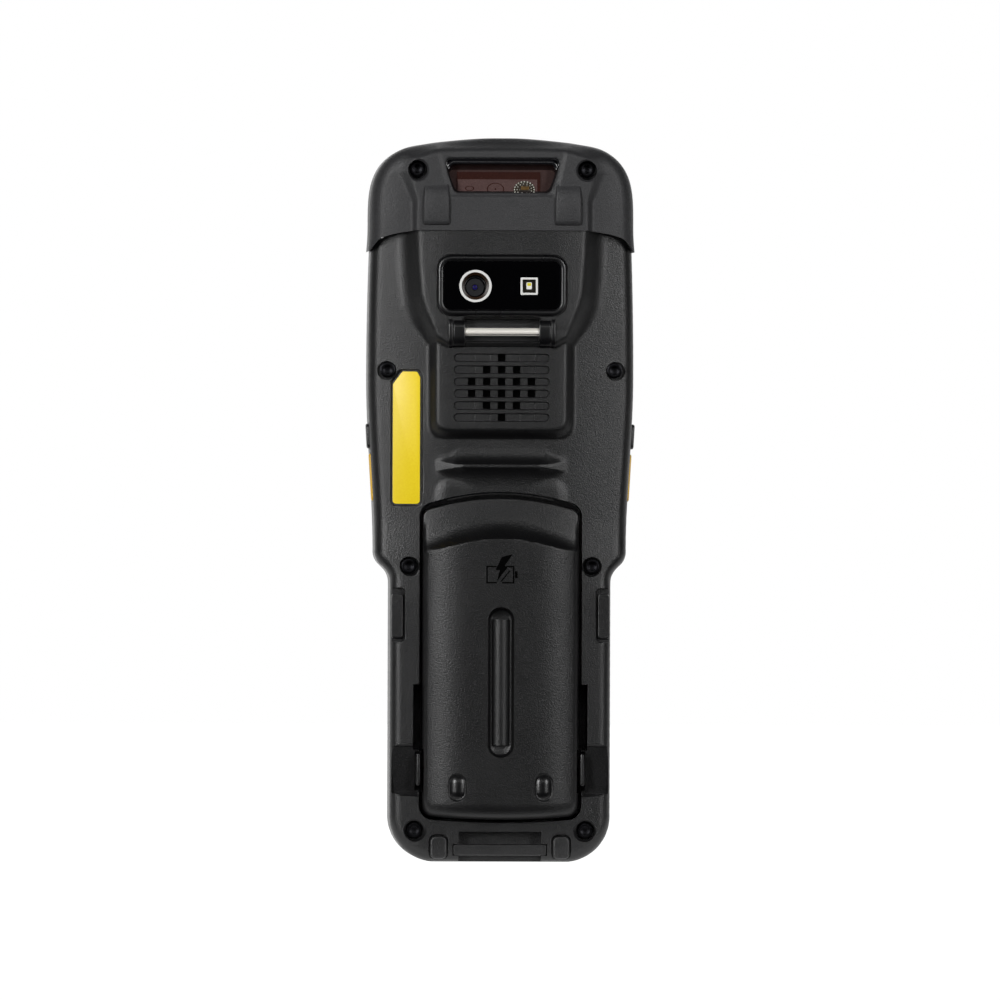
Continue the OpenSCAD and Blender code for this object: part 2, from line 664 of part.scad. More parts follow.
// Boards and frame hang from the chassis between the covers
stand_spots = [[20, 30], [20, 76], [26, neck_z + 12], [26, bumper_z - 14]];
module chassis() {
    post_y = bumper_seat_y + 3.5;
    color("#9a9a98") difference() {
        union() {
            along_y(chassis_y, chassis_y + chassis_t) intersection() {
                polygon(both(cover_half(wall + 0.6)));
                translate([-head_x, 14]) square([head_w, bumper_z - 20]);
            }
            block([-27, chassis_y, bumper_z - 12], [27, chassis_y + chassis_t, from_top(9.2)]);
            both_sides() {
                rod_y(bumper_screw[0], bumper_screw[1], 2.8, post_y, chassis_y + chassis_t);
                for (at = stand_spots) rod_y(at[0], at[1], 2, board_y + board_t, chassis_y + chassis_t);
                block([lcd_x - 4, chassis_y, lcd_z[0] + 2], [lcd_x - 2, dome_y + 1, lcd_z[1] - 2]);
            }
            block([-22, chassis_y, 16], [-19.5, dome_y - 1.5, scan_z]);
            block([19.5, chassis_y, 16], [22, dome_y - 1.5, scan_z]);
        }
        both_sides() {
            for (at = cover_screws) rod_y(at[0], at[1], pillar_r + 0.15, chassis_y - past, chassis_y + chassis_t + past);
            rod_y(bumper_screw[0], bumper_screw[1], screw_d / 2, post_y - past, chassis_y + chassis_t + past);
        }
    }
}

module main_board() {
    board_x = head_x - wall - 4.3;
    color(board_green) difference() {
        union() {
            block([-board_x, board_y, neck_z + 4], [board_x, board_y + board_t, bumper_z - 8]);
            block([-23, board_y, 20], [23, board_y + board_t, neck_z + 5]);
        }
        both_sides() for (at = cover_screws) rod_y(at[0], at[1], boss_r + 0.4, board_y - past, board_y + board_t + past);
    }
    color(black) {
        block([-12, board_y - 2, neck_z + 22], [4, board_y, neck_z + 38]);
        block([8, board_y - 1.6, neck_z + 20], [20, board_y, neck_z + 30]);
        block([-10, board_y + board_t, 40], [10, board_y + board_t + 1.2, 52]);
    }
}

module side_switches() {
    color("#c8c8c8") both_sides() for (z = [side_key_z, trigger_z]) {
        tip = side_x(z) - wall - loose - 1.2 - side_travel - 0.2;
        block([tip - 3.2, side_y - 1.8, z - 2], [tip - 0.6, board_y, z + 2]);
        translate([tip - 0.7, side_y, z]) rotate([0, 90, 0]) cylinder(r = 1, h = 0.7);
    }
}

module keypad_board() {
    color(board_green) block([-25, dome_y - 1.5, 13.6], [25, dome_y - 0.3, scan_z + 3.4]);
    color(board_green) block([-6, dome_y - 1.5, row_z - 12.6], [6, dome_y - 0.3, 13.7]);
}

module dome_sheet() {
    color("#dcdcdc") {
        block([-24.6, dome_y - 0.3 + seat_gap, 14], [24.6, dome_y, scan_z + 3]);
        block([-5.6, dome_y - 0.3 + seat_gap, row_z - 12.2], [5.6, dome_y, 14.1]);
        for (k = keys) rod_y(k[1][0], k[1][1], 2.2, dome_y - 0.1, dome_y + 0.6);
    }
}

module display_gasket() {
    color(black) difference() {
        plate([0, (glass_z[0] + glass_z[1]) / 2], 2 * glass_x - 0.2, glass_z[1] - glass_z[0] - 0.2, 3.8,
            ledge_y + 0.02, ledge_y + 0.18);
        plate([0, (lcd_z[0] + lcd_z[1]) / 2], 2 * lcd_x + 1.4, lcd_z[1] - lcd_z[0] + 1.4, 0.8, ledge_y - past,
            front_y);
    }
}

module display_glass() {
    color("#0b0c0e") plate([0, (glass_z[0] + glass_z[1]) / 2], 2 * glass_x, glass_z[1] - glass_z[0], 3.9,
        front_y - glass_t, front_y);
}

module lcd_module() {
    color("#2c3440") plate([0, (lcd_z[0] + lcd_z[1]) / 2], 2 * lcd_x, lcd_z[1] - lcd_z[0], 0.6, dome_y + 1,
        front_y - glass_t - 0.15);
}

module scan_engine() {
    color("#6b4a42") difference() {
        block([-11, bumper_back_y + bumper_wall + 0.6, from_top(18)], [11, y_seam - 3, from_top(5.6)]);
        rod_y(-4.5, from_top(11), 3, bumper_back_y, bumper_back_y + bumper_wall + 3);
    }
    color(gold) rod_y(6, from_top(11), 2.6, bumper_back_y + bumper_wall - 0.2, bumper_back_y + bumper_wall + 0.6);
}

module engine_bracket() {
    color("#9a9a98") block([-12, y_seam - 3, from_top(20)], [12, chassis_y, from_top(10)]);
}

module vibration_motor() {
    color(steel) translate([14, board_y - 3, bumper_z - 20]) rotate([0, 90, 0]) cylinder(r = 2.9, h = 9);
}

module terminal_block() {
    color(black) block([-8, well_floor_y, 16.2], [8, board_y - 0.1, 21.8]);
    color(gold) for (i = [-2:2]) rod_y(i * 3, 19, 0.6, battery_in_y - 0.1, well_floor_y + 0.5);
}

module earpiece() {
    color(black) block([-8, bumper_front_y - bumper_wall - 3, from_top(15)], [8, bumper_front_y - bumper_wall - 0.1, from_top(9)]);
    color("#9a9a98") block([-3, chassis_y + chassis_t, from_top(14)], [3, bumper_front_y - bumper_wall - 3, from_top(10)]);
}

// Battery: a bulged case with a scooped thumb rest, its cell pack and its contact pads
belly_y = back_y - battery_proud;
belly_drop = 4;
scoop_r = 14;
module battery_solid(inset) {
    x = battery_x - inset;
    steps = 12;
    intersection() {
        along_y(belly_y - past, battery_in_y - inset) battery_outline(-inset);
        linear_extrude(battery_top_z + past) polygon(concat(
            [for (i = [-steps:steps]) let (u = i / steps) [x * u, belly_y + inset + belly_drop * pow(u, 4)]],
            [[x, battery_in_y], [-x, battery_in_y]]));
    }
}

module battery_scoop(extra) {
    translate([-battery_x - past, belly_y - 8.4, battery_top_z - 1.4]) rotate([0, 90, 0])
        cylinder(r = scoop_r + extra, h = battery_w + 2 * past);
}

module battery_case() {
    groove_z = [31.1, 75.1];
    color("#2f2f31") difference() {
        battery_solid(0);
        battery_scoop(0);
        difference() {
            battery_solid(battery_wall);
            battery_scoop(battery_wall);
            plate([0, (groove_z[0] + groove_z[1]) / 2], 10, groove_z[1] - groove_z[0] + 3, 4, belly_y, belly_y + 3.2);
            both_sides() block([notch_x - 2.4, belly_y, latch_z - 2.5], [battery_x, battery_in_y, latch_z + latch_h + 2.5]);
            block([-9.4, battery_in_y - 2.4, 14.6], [9.4, battery_in_y, 23.4]);
        }
        plate([0, (groove_z[0] + groove_z[1]) / 2], 7.14, groove_z[1] - groove_z[0], 3.4, belly_y - past,
            belly_y + 1.6);
        both_sides() {
            block([notch_x, belly_y - past, latch_z - 1], [battery_x + past, battery_in_y - 1.5, latch_z + latch_h + 1]);
            rod_latch(1.1 + 0.2, notch_x - 2.2);
        }
        block([-8.4, battery_in_y - 1.2, 15.6], [8.4, battery_in_y + past, 22.4]);
    }
}

module rod_latch(r, x0) {
    translate([x0, latch_y, latch_z + latch_h / 2]) rotate([0, 90, 0]) cylinder(r = r, h = latch_x + 0.5 - x0);
}

latch_y = back_y + 2;
module latch(side) {
    color(charcoal) mirror([side, 0, 0]) {
        plate([latch_x + latch_t / 2, latch_z + latch_h / 2], latch_t, latch_h, 0.8, back_y - 1.6, back_y + 4.6);
        rod_latch(1.1, notch_x - 1);
    }
}

module battery_cells() {
    color("#3c5f8a") block([-battery_x + 4.4, belly_y + 5.2, 24.5], [battery_x - 4.4, battery_in_y - battery_wall - 0.1, 92]);
}

module battery_pads() {
    color(gold) for (i = [-2:2])
        block([i * 3 - 1, battery_in_y - 1.2 + seat_gap, 17], [i * 3 + 1, battery_in_y - 0.9, 21]);
}

// Side controls slide in the wall windows; a flange inside keeps them in
module side_control(length, z, proud, tone) {
    half = length / 2;
    steps = 4;
    outer = [for (i = [0:steps]) let (h = z - half + length * i / steps, t = abs(2 * i / steps - 1))
        [side_x(h) + proud * (1 - pow(t, 6) * 0.6), h]];
    flange_x = side_x(z - half) - wall - loose;
    color(tone) {
        along_y(side_y - side_depth / 2, side_y + side_depth / 2)
            polygon(concat(outer, [[flange_x - 0.5, z + half], [flange_x - 0.5, z - half]]));
        block([flange_x - 1, side_y - side_depth / 2 - 0.8, z - half - 0.4],
            [flange_x, side_y + side_depth / 2 + 0.8, z + half + 0.4]);
    }
}

module side_key_right() {
    side_control(side_key_len, side_key_z, 1, black);
}

module side_key_left() {
    mirror([1, 0, 0]) side_key_right();
}

module side_trigger_right() {
    side_control(trigger_len, trigger_z, 0.5, yellow);
}

module side_trigger_left() {
    mirror([1, 0, 0]) side_trigger_right();
}

// A front key: cap through the wall, flange under it, plunger over its dome
module front_key(k) {
    tip_y = dome_y + 0.6 + key_travel + 0.25;
    color(k[0] == "key_scan" ? yellow : "#4a4a4d") {
        plate(k[1], k[2], k[3], k[4], flange_y - 0.5, front_y + key_proud);
        plate(k[1], k[2] + 2 * flange_w, k[3] + 2 * flange_w, k[4], flange_y - 0.8, flange_y);
        rod_y(k[1][0], k[1][1], 1.5, tip_y, flange_y);
    }
}

rear_cover();
front_cover();
top_bumper();
scan_window();
camera_bezel();
camera_window();
camera_module();
flash_led();
strap_bar();
speaker_mesh();
speaker();
blank_label();
side_inserts();
base_pads();
lower_bar();
dock_connector();
housing_screws();
seam_gasket();
chassis();
main_board();
side_switches();
keypad_board();
dome_sheet();
display_gasket();
display_glass();
lcd_module();
scan_engine();
engine_bracket();
vibration_motor();
terminal_block();
earpiece();
battery_case();
battery_cells();
battery_pads();
latch(1);  // latch_left
latch(0);  // latch_right
side_key_left();
side_key_right();
side_trigger_left();
side_trigger_right();
for (k = keys) front_key(k);
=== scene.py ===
import math
import bpy
import bmesh
from mathutils import Matrix, Vector
from mathutils.kdtree import KDTree


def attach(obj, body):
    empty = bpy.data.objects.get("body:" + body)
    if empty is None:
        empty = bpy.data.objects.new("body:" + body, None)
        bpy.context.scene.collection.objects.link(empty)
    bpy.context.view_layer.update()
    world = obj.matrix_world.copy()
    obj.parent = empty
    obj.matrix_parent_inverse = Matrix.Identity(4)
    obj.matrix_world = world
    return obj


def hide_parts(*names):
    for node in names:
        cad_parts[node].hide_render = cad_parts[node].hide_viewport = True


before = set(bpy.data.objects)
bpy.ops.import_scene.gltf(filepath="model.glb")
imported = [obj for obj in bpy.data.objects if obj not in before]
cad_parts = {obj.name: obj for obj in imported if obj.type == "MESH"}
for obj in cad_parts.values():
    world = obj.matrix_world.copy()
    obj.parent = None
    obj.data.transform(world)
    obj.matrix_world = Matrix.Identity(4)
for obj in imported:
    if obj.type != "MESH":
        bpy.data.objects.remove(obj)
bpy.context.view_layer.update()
mm = 0.001
print("frame loaded:", len(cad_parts), "nodes")


# ---- colours and nodes

def toLinear(hexColor):
    parts = [int(hexColor[i:i + 2], 16) / 255 for i in (1, 3, 5)]
    return [c / 12.92 if c <= 0.04045 else ((c + 0.055) / 1.055) ** 2.4 for c in parts] + [1]


def addNode(tree, kind, settings=None, links=None):
    # settings: property or input name -> value; links: input -> (node, output)
    node = tree.nodes.new("ShaderNode" + kind)
    for name, value in (settings or {}).items():
        if isinstance(name, str) and hasattr(node, name):
            setattr(node, name, value)
        else:
            node.inputs[name].default_value = value
    for name, (source, output) in (links or {}).items():
        tree.links.new(source.outputs[output], node.inputs[name])
    return node


def newMaterial(name):
    material = bpy.data.materials.new(name)
    material.use_nodes = True
    tree = material.node_tree
    tree.nodes.clear()
    return material, tree


def finishMaterial(tree, shader):
    addNode(tree, "OutputMaterial", links={"Surface": (shader, 0)})


def ramp(tree, source, output, low, high, fromLow=0.0, fromHigh=1.0):
    ends = {"From Min": fromLow, "From Max": fromHigh, "To Min": low, "To Max": high}
    return addNode(tree, "MapRange", ends, {"Value": (source, output)})


def noise(tree, sizeMm, detail):
    # spots of a given size, laid on the piece itself
    place = addNode(tree, "TexCoord")
    look = {"Scale": 1 / (sizeMm * mm), "Detail": detail}
    return addNode(tree, "TexNoise", look, {"Vector": (place, "Object")})


def mouldedPlastic(name, dark, light, grainMm, grainDepth, roughLow, roughHigh, level=0.5):
    # spark-eroded ABS: an even fine grain that breaks highlights into a soft sparkle
    material, tree = newMaterial(name)
    grain = noise(tree, grainMm, 3.0)
    grain.inputs["Roughness"].default_value = 0.6
    cloud = noise(tree, 14, 2.0)
    tone = addNode(tree, "ValToRGB", links={"Fac": (grain, "Fac")})
    tone.color_ramp.elements[0].position = 0.35
    tone.color_ramp.elements[0].color = toLinear(dark)
    tone.color_ramp.elements[1].position = 0.7
    tone.color_ramp.elements[1].color = toLinear(light)
    rough = ramp(tree, cloud, "Fac", roughLow, roughHigh, 0.3, 0.7)
    bump = addNode(tree, "Bump", {"Strength": 1.0, "Distance": grainDepth * mm}, {"Height": (grain, "Fac")})
    fed = {"Base Color": (tone, "Color"), "Roughness": (rough, "Result"), "Normal": (bump, "Normal")}
    shader = addNode(tree, "BsdfPrincipled", {"IOR": 1.5, "Specular IOR Level": level}, fed)
    finishMaterial(tree, shader)
    return material


def glossPlastic(name, color, rough, wearMm=6.0, level=0.5):
    # polished acrylic or gloss ABS: clean reflections with faint handling haze
    material, tree = newMaterial(name)
    haze = noise(tree, wearMm, 4.0)
    spread = ramp(tree, haze, "Fac", rough, rough + 0.08, 0.35, 0.75)
    look = {"Base Color": toLinear(color), "IOR": 1.49, "Specular IOR Level": level}
    shader = addNode(tree, "BsdfPrincipled", look, {"Roughness": (spread, "Result")})
    finishMaterial(tree, shader)
    return material


def clearPane(name, color, ior, hazeMm, rough, hazeFrom):
    # a see-through sheet: crisp reflections, and a faint haze of handling where the noise passes hazeFrom
    material, tree = newMaterial(name)
    haze = noise(tree, hazeMm, 3.0)
    spread = ramp(tree, haze, "Fac", rough, 0.06, hazeFrom, hazeFrom + 0.4)
    look = {"Base Color": toLinear(color), "Alpha": 0.3, "IOR": ior}
    shader = addNode(tree, "BsdfPrincipled", look, {"Roughness": (spread, "Result")})
    finishMaterial(tree, shader)
    return material


def checkered(name, dark, light, cellMm, rough, level=0.5):
    # small squares of two tones: a woven cloth, or the raster of a display
    material, tree = newMaterial(name)
    place = addNode(tree, "TexCoord")
    tones = {"Scale": 1 / (cellMm * mm), "Color1": toLinear(dark), "Color2": toLinear(light)}
    cells = addNode(tree, "TexChecker", tones, {"Vector": (place, "Object")})
    shader = addNode(tree, "BsdfPrincipled", {"Roughness": rough, "Specular IOR Level": level},
                     {"Base Color": (cells, "Color")})
    finishMaterial(tree, shader)
    return material


def metal(name, color, rough, brushMm=0.0, axis=(1, 1, 1), metallic=1.0):
    # plain metal with a directional finish where axis squeezes the noise
    material, tree = newMaterial(name)
    place = addNode(tree, "TexCoord")
    grain = addNode(tree, "Mapping", {"Scale": axis}, {"Vector": (place, "Object")})
    lines = addNode(tree, "TexNoise", {"Scale": 1 / (max(brushMm, 0.4) * mm), "Detail": 4.0},
                    {"Vector": (grain, "Vector")})
    spread = ramp(tree, lines, "Fac", rough * 0.8, rough * 1.25, 0.3, 0.7)
    bump = addNode(tree, "Bump", {"Strength": 0.6, "Distance": 0.01 * mm}, {"Height": (lines, "Fac")})
    shader = addNode(tree, "BsdfPrincipled", {"Base Color": toLinear(color), "Metallic": metallic},
                     {"Roughness": (spread, "Result"), "Normal": (bump, "Normal")})
    finishMaterial(tree, shader)
    return material


casePlastic = mouldedPlastic("blackCasePlastic", "#0b0b0c", "#121213", 0.4, 0.1, 0.33, 0.39)
batteryPlastic = mouldedPlastic("blackBatteryPlastic", "#0a0a0b", "#111112", 0.4, 0.1, 0.33, 0.39, 0.42)
bumperRubber = mouldedPlastic("greyBumperElastomer", "#2b2b2c", "#363638", 0.45, 0.12, 0.43, 0.51, 0.4)
fittingPlastic = mouldedPlastic("blackFittingPlastic", "#08080a", "#0f0f10", 0.4, 0.02, 0.26, 0.32)
windowBlack = glossPlastic("blackWindowAcrylic", "#040405", 0.04, level=0.16)
lipGloss = mouldedPlastic("blackSatinLip", "#131316", "#18181b", 0.4, 0.01, 0.13, 0.18, 0.8)
# satin metal in part, but near white and mostly diffuse: painted brightness standing in for the polished bar's
# reflection of the lights
paintedBrightSteel = metal("satinNickelBarPaintedBright", "#fffbf2", 0.34, 0.5, (1, 14, 14), metallic=0.3)
screwSteel = metal("blackOxideSteel", "#1c1c1e", 0.34, 0.6)
labelFilm = mouldedPlastic("yellowLabelFilm", "#fbdb1a", "#ffe222", 0.6, 0.004, 0.36, 0.44)
triggerYellow = mouldedPlastic("yellowTriggerPlastic", "#f3bb10", "#fac51a", 0.4, 0.015, 0.36, 0.44)
keyPlastic = mouldedPlastic("greyKeyElastomer", "#3e3e42", "#4a4a4e", 0.4, 0.015, 0.42, 0.5)
ringWhite = glossPlastic("whitePrintedRing", "#e9e9e6", 0.3)
boardMask = mouldedPlastic("greenBoardMask", "#174a2f", "#1f5c3b", 1.2, 0.01, 0.3, 0.4)
castAlloy = metal("castAlloy", "#a8a8a5", 0.45, 0.8)
goldPlate = metal("goldPlate", "#d9b04a", 0.25, 0.5)
cellWrap = glossPlastic("blueCellWrap", "#3c5f8a", 0.35)
switchGrey = mouldedPlastic("greySwitchNylon", "#b8b8b8", "#c8c8c8", 0.5, 0.01, 0.4, 0.5)
print("materials made")

# ---- the body's outline, in millimetres

body = {"gripHalf": 32.6, "headHalf": 39.3, "neckHalf": 37.2, "baseRadius": 13.5, "shoulderZ": 82.5,
        "flareRadius": 6.0, "neckRadius": 5.0, "wideZ": 143.0, "taper": 0.9, "bumperZ": 186.7,
        "backY": -13.0, "seamY": 2.5, "frontY": 16.5, "edgeRadius": 3.2, "wall": 2.0, "crown": 1.0}
body["neckZ"] = (body["shoulderZ"] + body["neckHalf"] - body["gripHalf"]
                 + (math.sqrt(2) - 1) * (body["flareRadius"] + body["neckRadius"]))
# the bumper's lower edge: (distance from the middle, how far it has come down)
bumperEdge = [(25.2, 0.0), (31.4, 1.0), (34.3, 1.8), (35.6, 2.3), (36.7, 3.2), (37.6, 4.5), (38.5, 6.0),
              (39.6, 6.7)]


def easeStep(t):
    t = min(1.0, max(0.0, t))
    return t * t * (3 - 2 * t)


def halfWidth(z):
    grip, neck, flare, bend = body["gripHalf"], body["neckHalf"], body["flareRadius"], body["neckRadius"]
    low, top, corner = body["shoulderZ"], body["neckZ"], body["baseRadius"]
    if z < corner:
        return grip - corner + math.sqrt(max(0.0, corner ** 2 - (corner - z) ** 2))
    if z < low:
        return grip
    if z < low + flare * math.sqrt(0.5):
        return grip + flare - math.sqrt(flare ** 2 - (z - low) ** 2)
    if z < top - bend * math.sqrt(0.5):
        return grip + flare * (1 - math.sqrt(0.5)) + z - low - flare * math.sqrt(0.5)
    if z < top:
        return neck - bend + math.sqrt(bend ** 2 - (z - top) ** 2)
    if z < body["wideZ"]:
        return neck + (body["headHalf"] - neck) * easeStep((z - top) / (body["wideZ"] - top))
    return body["headHalf"] - body["taper"] * ((z - body["wideZ"]) / (body["bumperZ"] - body["wideZ"])) ** 2


def edgeDrop(x):
    # how far the bumper's lower edge has come down at a distance from the middle
    x = abs(x)
    if x <= bumperEdge[0][0]:
        return 0.0
    for (x0, d0), (x1, d1) in zip(bumperEdge, bumperEdge[1:]):
        if x <= x1:
            return d0 + (d1 - d0) * (x - x0) / (x1 - x0)
    return bumperEdge[-1][1]


def treeOf(points):
    tree = KDTree(len(points))
    for i, (x, z) in enumerate(points):
        tree.insert((x, 0, z), i)
    tree.balance()
    return tree


def walk(points, step=0.15):
    # points along a closed outline, a step apart
    found = []
    for (x0, z0), (x1, z1) in zip(points, points[1:] + points[:1]):
        count = max(1, round(math.hypot(x1 - x0, z1 - z0) / step))
        found += [(x0 + (x1 - x0) * i / count, z0 + (z1 - z0) * i / count) for i in range(count)]
    return found


def mirrored(half):
    # closes a right-hand half, listed upwards, with its mirror image
    return half + [(-x, z) for x, z in reversed(half) if abs(x) > 1e-6]


def arc(cx, cz, radius, start, end, count):
    turns = [math.radians(start + (end - start) * i / count) for i in range(count + 1)]
    return [(cx + radius * math.cos(a), cz + radius * math.sin(a)) for a in turns]


def roundRect(cx, cz, width, height, radius, count=5):
    x, z = width / 2 - radius, height / 2 - radius
    return (arc(cx + x, cz - z, radius, -90, 0, count) + arc(cx + x, cz + z, radius, 0, 90, count)
            + arc(cx - x, cz + z, radius, 90, 180, count) + arc(cx - x, cz - z, radius, 180, 270, count))


def growable(cx, cz, width, height, corner, count=5):
    # a rounded rectangle as an outline that can be grown
    return lambda grow: roundRect(cx, cz, width + 2 * grow, height + 2 * grow, corner + grow, count)


def roundFall(radius, depth):
    # how far a rounded rim has fallen at a distance depth inside its outline
    return radius - math.sqrt(max(0.0, radius ** 2 - max(0.0, radius - depth) ** 2))


def signedDistance(x, z, polygon):
    # positive inside
    best, inside = 1e9, False
    for (x0, z0), (x1, z1) in zip(polygon, polygon[1:] + polygon[:1]):
        dx, dz = x1 - x0, z1 - z0
        t = min(1.0, max(0.0, ((x - x0) * dx + (z - z0) * dz) / (dx * dx + dz * dz)))
        best = min(best, math.hypot(x - x0 - t * dx, z - z0 - t * dz))
        if (z0 > z) != (z1 > z) and x < x0 + dx * (z - z0) / dz:
            inside = not inside
    return best if inside else -best


def softMin(a, b, k):
    h = max(k - abs(a - b), 0.0)
    return min(a, b) - h * h / (4 * k)


def softMax(a, b, k):
    return -softMin(-a, -b, k)


def raised(x, z, top, foot, height, topRound, footRound):
    # a block that slopes from its foot outline to its top outline
    inFoot = signedDistance(x, z, foot)
    if inFoot < -4:
        return 0.0
    width = max(0.4, inFoot - signedDistance(x, z, top))
    level = max(-height, min(2 * height, height * inFoot / width))
    return softMax(softMin(level, height, topRound), 0.0, footRound)


# ---- mesh helpers

def meshFrom(bm, name):
    bmesh.ops.scale(bm, vec=(mm, mm, mm), verts=bm.verts)
    mesh = bpy.data.meshes.new(name)
    bm.to_mesh(mesh)
    bm.free()
    piece = bpy.data.objects.new(name, mesh)
    bpy.context.scene.collection.objects.link(piece)
    return piece


def vertsOf(geom):
    return [v for v in geom if isinstance(v, bmesh.types.BMVert)]


def edgesOf(geom):
    return [e for e in geom if isinstance(e, bmesh.types.BMEdge)]


def thickened(line, shift):
    # a flat closed line of points, carried along shift into a closed body
    bm = bmesh.new()
    face = bm.faces.new([bm.verts.new(co) for co in line])
    grown = bmesh.ops.extrude_face_region(bm, geom=[face])["geom"]
    bmesh.ops.translate(bm, vec=shift, verts=vertsOf(grown))
    bmesh.ops.recalc_face_normals(bm, faces=bm.faces)
    return bm


def prism(points, y0, y1):
    # an outline in X and Z, extruded in Y
    return thickened([(x, y0, z) for x, z in points], (0, y1 - y0, 0))


def lathe(profile, centre, axis, steps=32, ring=False):
    # profile: (radius, distance along the axis), spun round a line through centre; a ring's profile is closed
    bm = bmesh.new()
    turn = Vector((0, 0, 1)).rotation_difference(Vector(axis)).to_matrix().to_4x4()
    verts = [bm.verts.new((r, 0, h)) for r, h in profile]
    edges = [bm.edges.new(pair) for pair in zip(verts, verts[1:] + (verts[:1] if ring else []))]
    bmesh.ops.spin(bm, geom=verts + edges, cent=(0, 0, 0), axis=(0, 0, 1), angle=math.tau, steps=steps,
                   use_merge=True, use_duplicate=False)
    bmesh.ops.remove_doubles(bm, verts=bm.verts, dist=1e-4)
    bmesh.ops.transform(bm, matrix=Matrix.Translation(centre) @ turn, verts=bm.verts)
    bmesh.ops.recalc_face_normals(bm, faces=bm.faces)
    return bm


def turned(profile, centre, axis=(0, 1, 0), steps=48):
    # a ring with nothing across its middle
    return lathe(profile, centre, axis, steps, ring=True)


def rod(radius, low, high, centre, axis, steps=32):
    return lathe([(0, low), (radius, low), (radius, high), (0, high)], centre, axis, steps)


def box(low, high):
    bm = bmesh.new()
    bmesh.ops.create_cube(bm, size=1)
    bmesh.ops.scale(bm, vec=[b - a for a, b in zip(low, high)], verts=bm.verts)
    bmesh.ops.translate(bm, vec=[(a + b) / 2 for a, b in zip(low, high)], verts=bm.verts)
    return bm


def sideBox(side, x0, x1, low, high):
    # a box on one side, x0 to x1 off the middle; low and high are its ends in Y and Z
    inner, outer = sorted((side * x0, side * x1))
    return box((inner, *low), (outer, *high))


def stack(rings, loop=False):
    # outlines of equal count at rising depths, each drawn out of the last; capped, or closed on itself
    bm = bmesh.new()
    line = [bm.verts.new((x, rings[0][0], z)) for x, z in rings[0][1]]
    edges = [bm.edges.new(pair) for pair in zip(line, line[1:] + line[:1])]
    start = list(edges)
    for y, points in rings[1:] + (rings[:1] if loop else []):
        order = {v.co.to_tuple(5): i for i, v in enumerate(line)}
        grown = bmesh.ops.extrude_edge_only(bm, edges=edges)["geom"]
        edges = edgesOf(grown)
        line = sorted(vertsOf(grown), key=lambda v: order[v.co.to_tuple(5)])
        for v, (x, z) in zip(line, points):
            v.co = (x, y, z)
    if loop:
        bmesh.ops.remove_doubles(bm, verts=bm.verts, dist=1e-4)
    else:
        for ends in (start, edges):
            bmesh.ops.contextual_create(bm, geom=ends)
    bmesh.ops.recalc_face_normals(bm, faces=bm.faces)
    return bm


def recess(outline, openY, floorY, chamfer=0.35, out=4.0):
    # a pocket cut from outside: outline(grow) gives its edge, which is rounded at the surface
    turns = [math.radians(a) for a in (0, 30, 60, 90)]
    rim = [(openY + chamfer * (1 - math.cos(a)), outline(chamfer * (1 - math.sin(a)))) for a in turns]
    return stack([(openY - out, outline(chamfer + out))] + rim + [(floorY, outline(0))])


def easeRims(bm, sharper, width, segments):
    # rounds the edges that turn by more than an angle in radians
    rims = [e for e in bm.edges if e.calc_face_angle(0) > sharper]
    bmesh.ops.bevel(bm, geom=rims, offset=width, offset_type="OFFSET", segments=segments, profile=0.5,
                    affect="EDGES", material=-1)


def sides(line, x0, x1):
    # an outline in Y and Z, widened along X from x0 to x1, with its rims eased
    bm = thickened([(x0, y, z) for y, z in line], (x1 - x0, 0, 0))
    easeRims(bm, 0.8, 0.3, 2)
    return bm


def joined(name, parts):
    # one piece from several meshes, each with its own material place
    whole = bmesh.new()
    for bm, place in parts:
        for face in bm.faces:
            face.material_index = place
        loose = bpy.data.meshes.new(name + "Part")
        bm.to_mesh(loose)
        bm.free()
        whole.from_mesh(loose)
        bpy.data.meshes.remove(loose)
    return meshFrom(whole, name)


def field(columns, rows, place, backTo):
    # a grid laid over an outline by place(column, row), closed by a rim and a flat back
    bm = bmesh.new()
    bmesh.ops.create_grid(bm, x_segments=columns, y_segments=rows, size=1)
    for v in bm.verts:
        v.co = place(round((v.co.x + 1) / 2 * columns), round((v.co.y + 1) / 2 * rows))
    rim = [e for e in bm.edges if e.is_boundary]
    grown = bmesh.ops.extrude_edge_only(bm, edges=rim)["geom"]
    for v in vertsOf(grown):
        v.co.y = backTo
    bmesh.ops.contextual_create(bm, geom=edgesOf(grown))
    bmesh.ops.recalc_face_normals(bm, faces=bm.faces)
    return bm


def plainMesh(source):
    # an object's mesh with its modifiers applied, or a curve's surface
    bpy.context.view_layer.update()
    return bpy.data.meshes.new_from_object(source.evaluated_get(bpy.context.evaluated_depsgraph_get()))


def curveSurface(data):
    # a rod or a figure, drawn as a curve and taken as plain mesh
    holder = bpy.data.objects.new(data.name, data)
    bpy.context.scene.collection.objects.link(holder)
    shape = plainMesh(holder)
    bm = bmesh.new()
    bm.from_mesh(shape)
    bpy.data.objects.remove(holder)
    bpy.data.meshes.remove(shape)
    return bm


def carve(piece, tools, operation="DIFFERENCE"):
    # cuts each tool out of the piece, or adds it, and keeps the result as plain mesh
    made = []
    for tool in tools:
        made.append(tool if isinstance(tool, bpy.types.Object) else meshFrom(tool, piece.name + "Tool"))
    for n, cutter in enumerate(made):
        modifier = piece.modifiers.new("tool" + str(n), "BOOLEAN")
        modifier.solver = "MANIFOLD"
        modifier.operation = operation
        modifier.object = cutter
    result = plainMesh(piece)
    piece.modifiers.clear()
    piece.data = result
    for cutter in made:
        bpy.data.objects.remove(cutter)
    return piece


finished = []


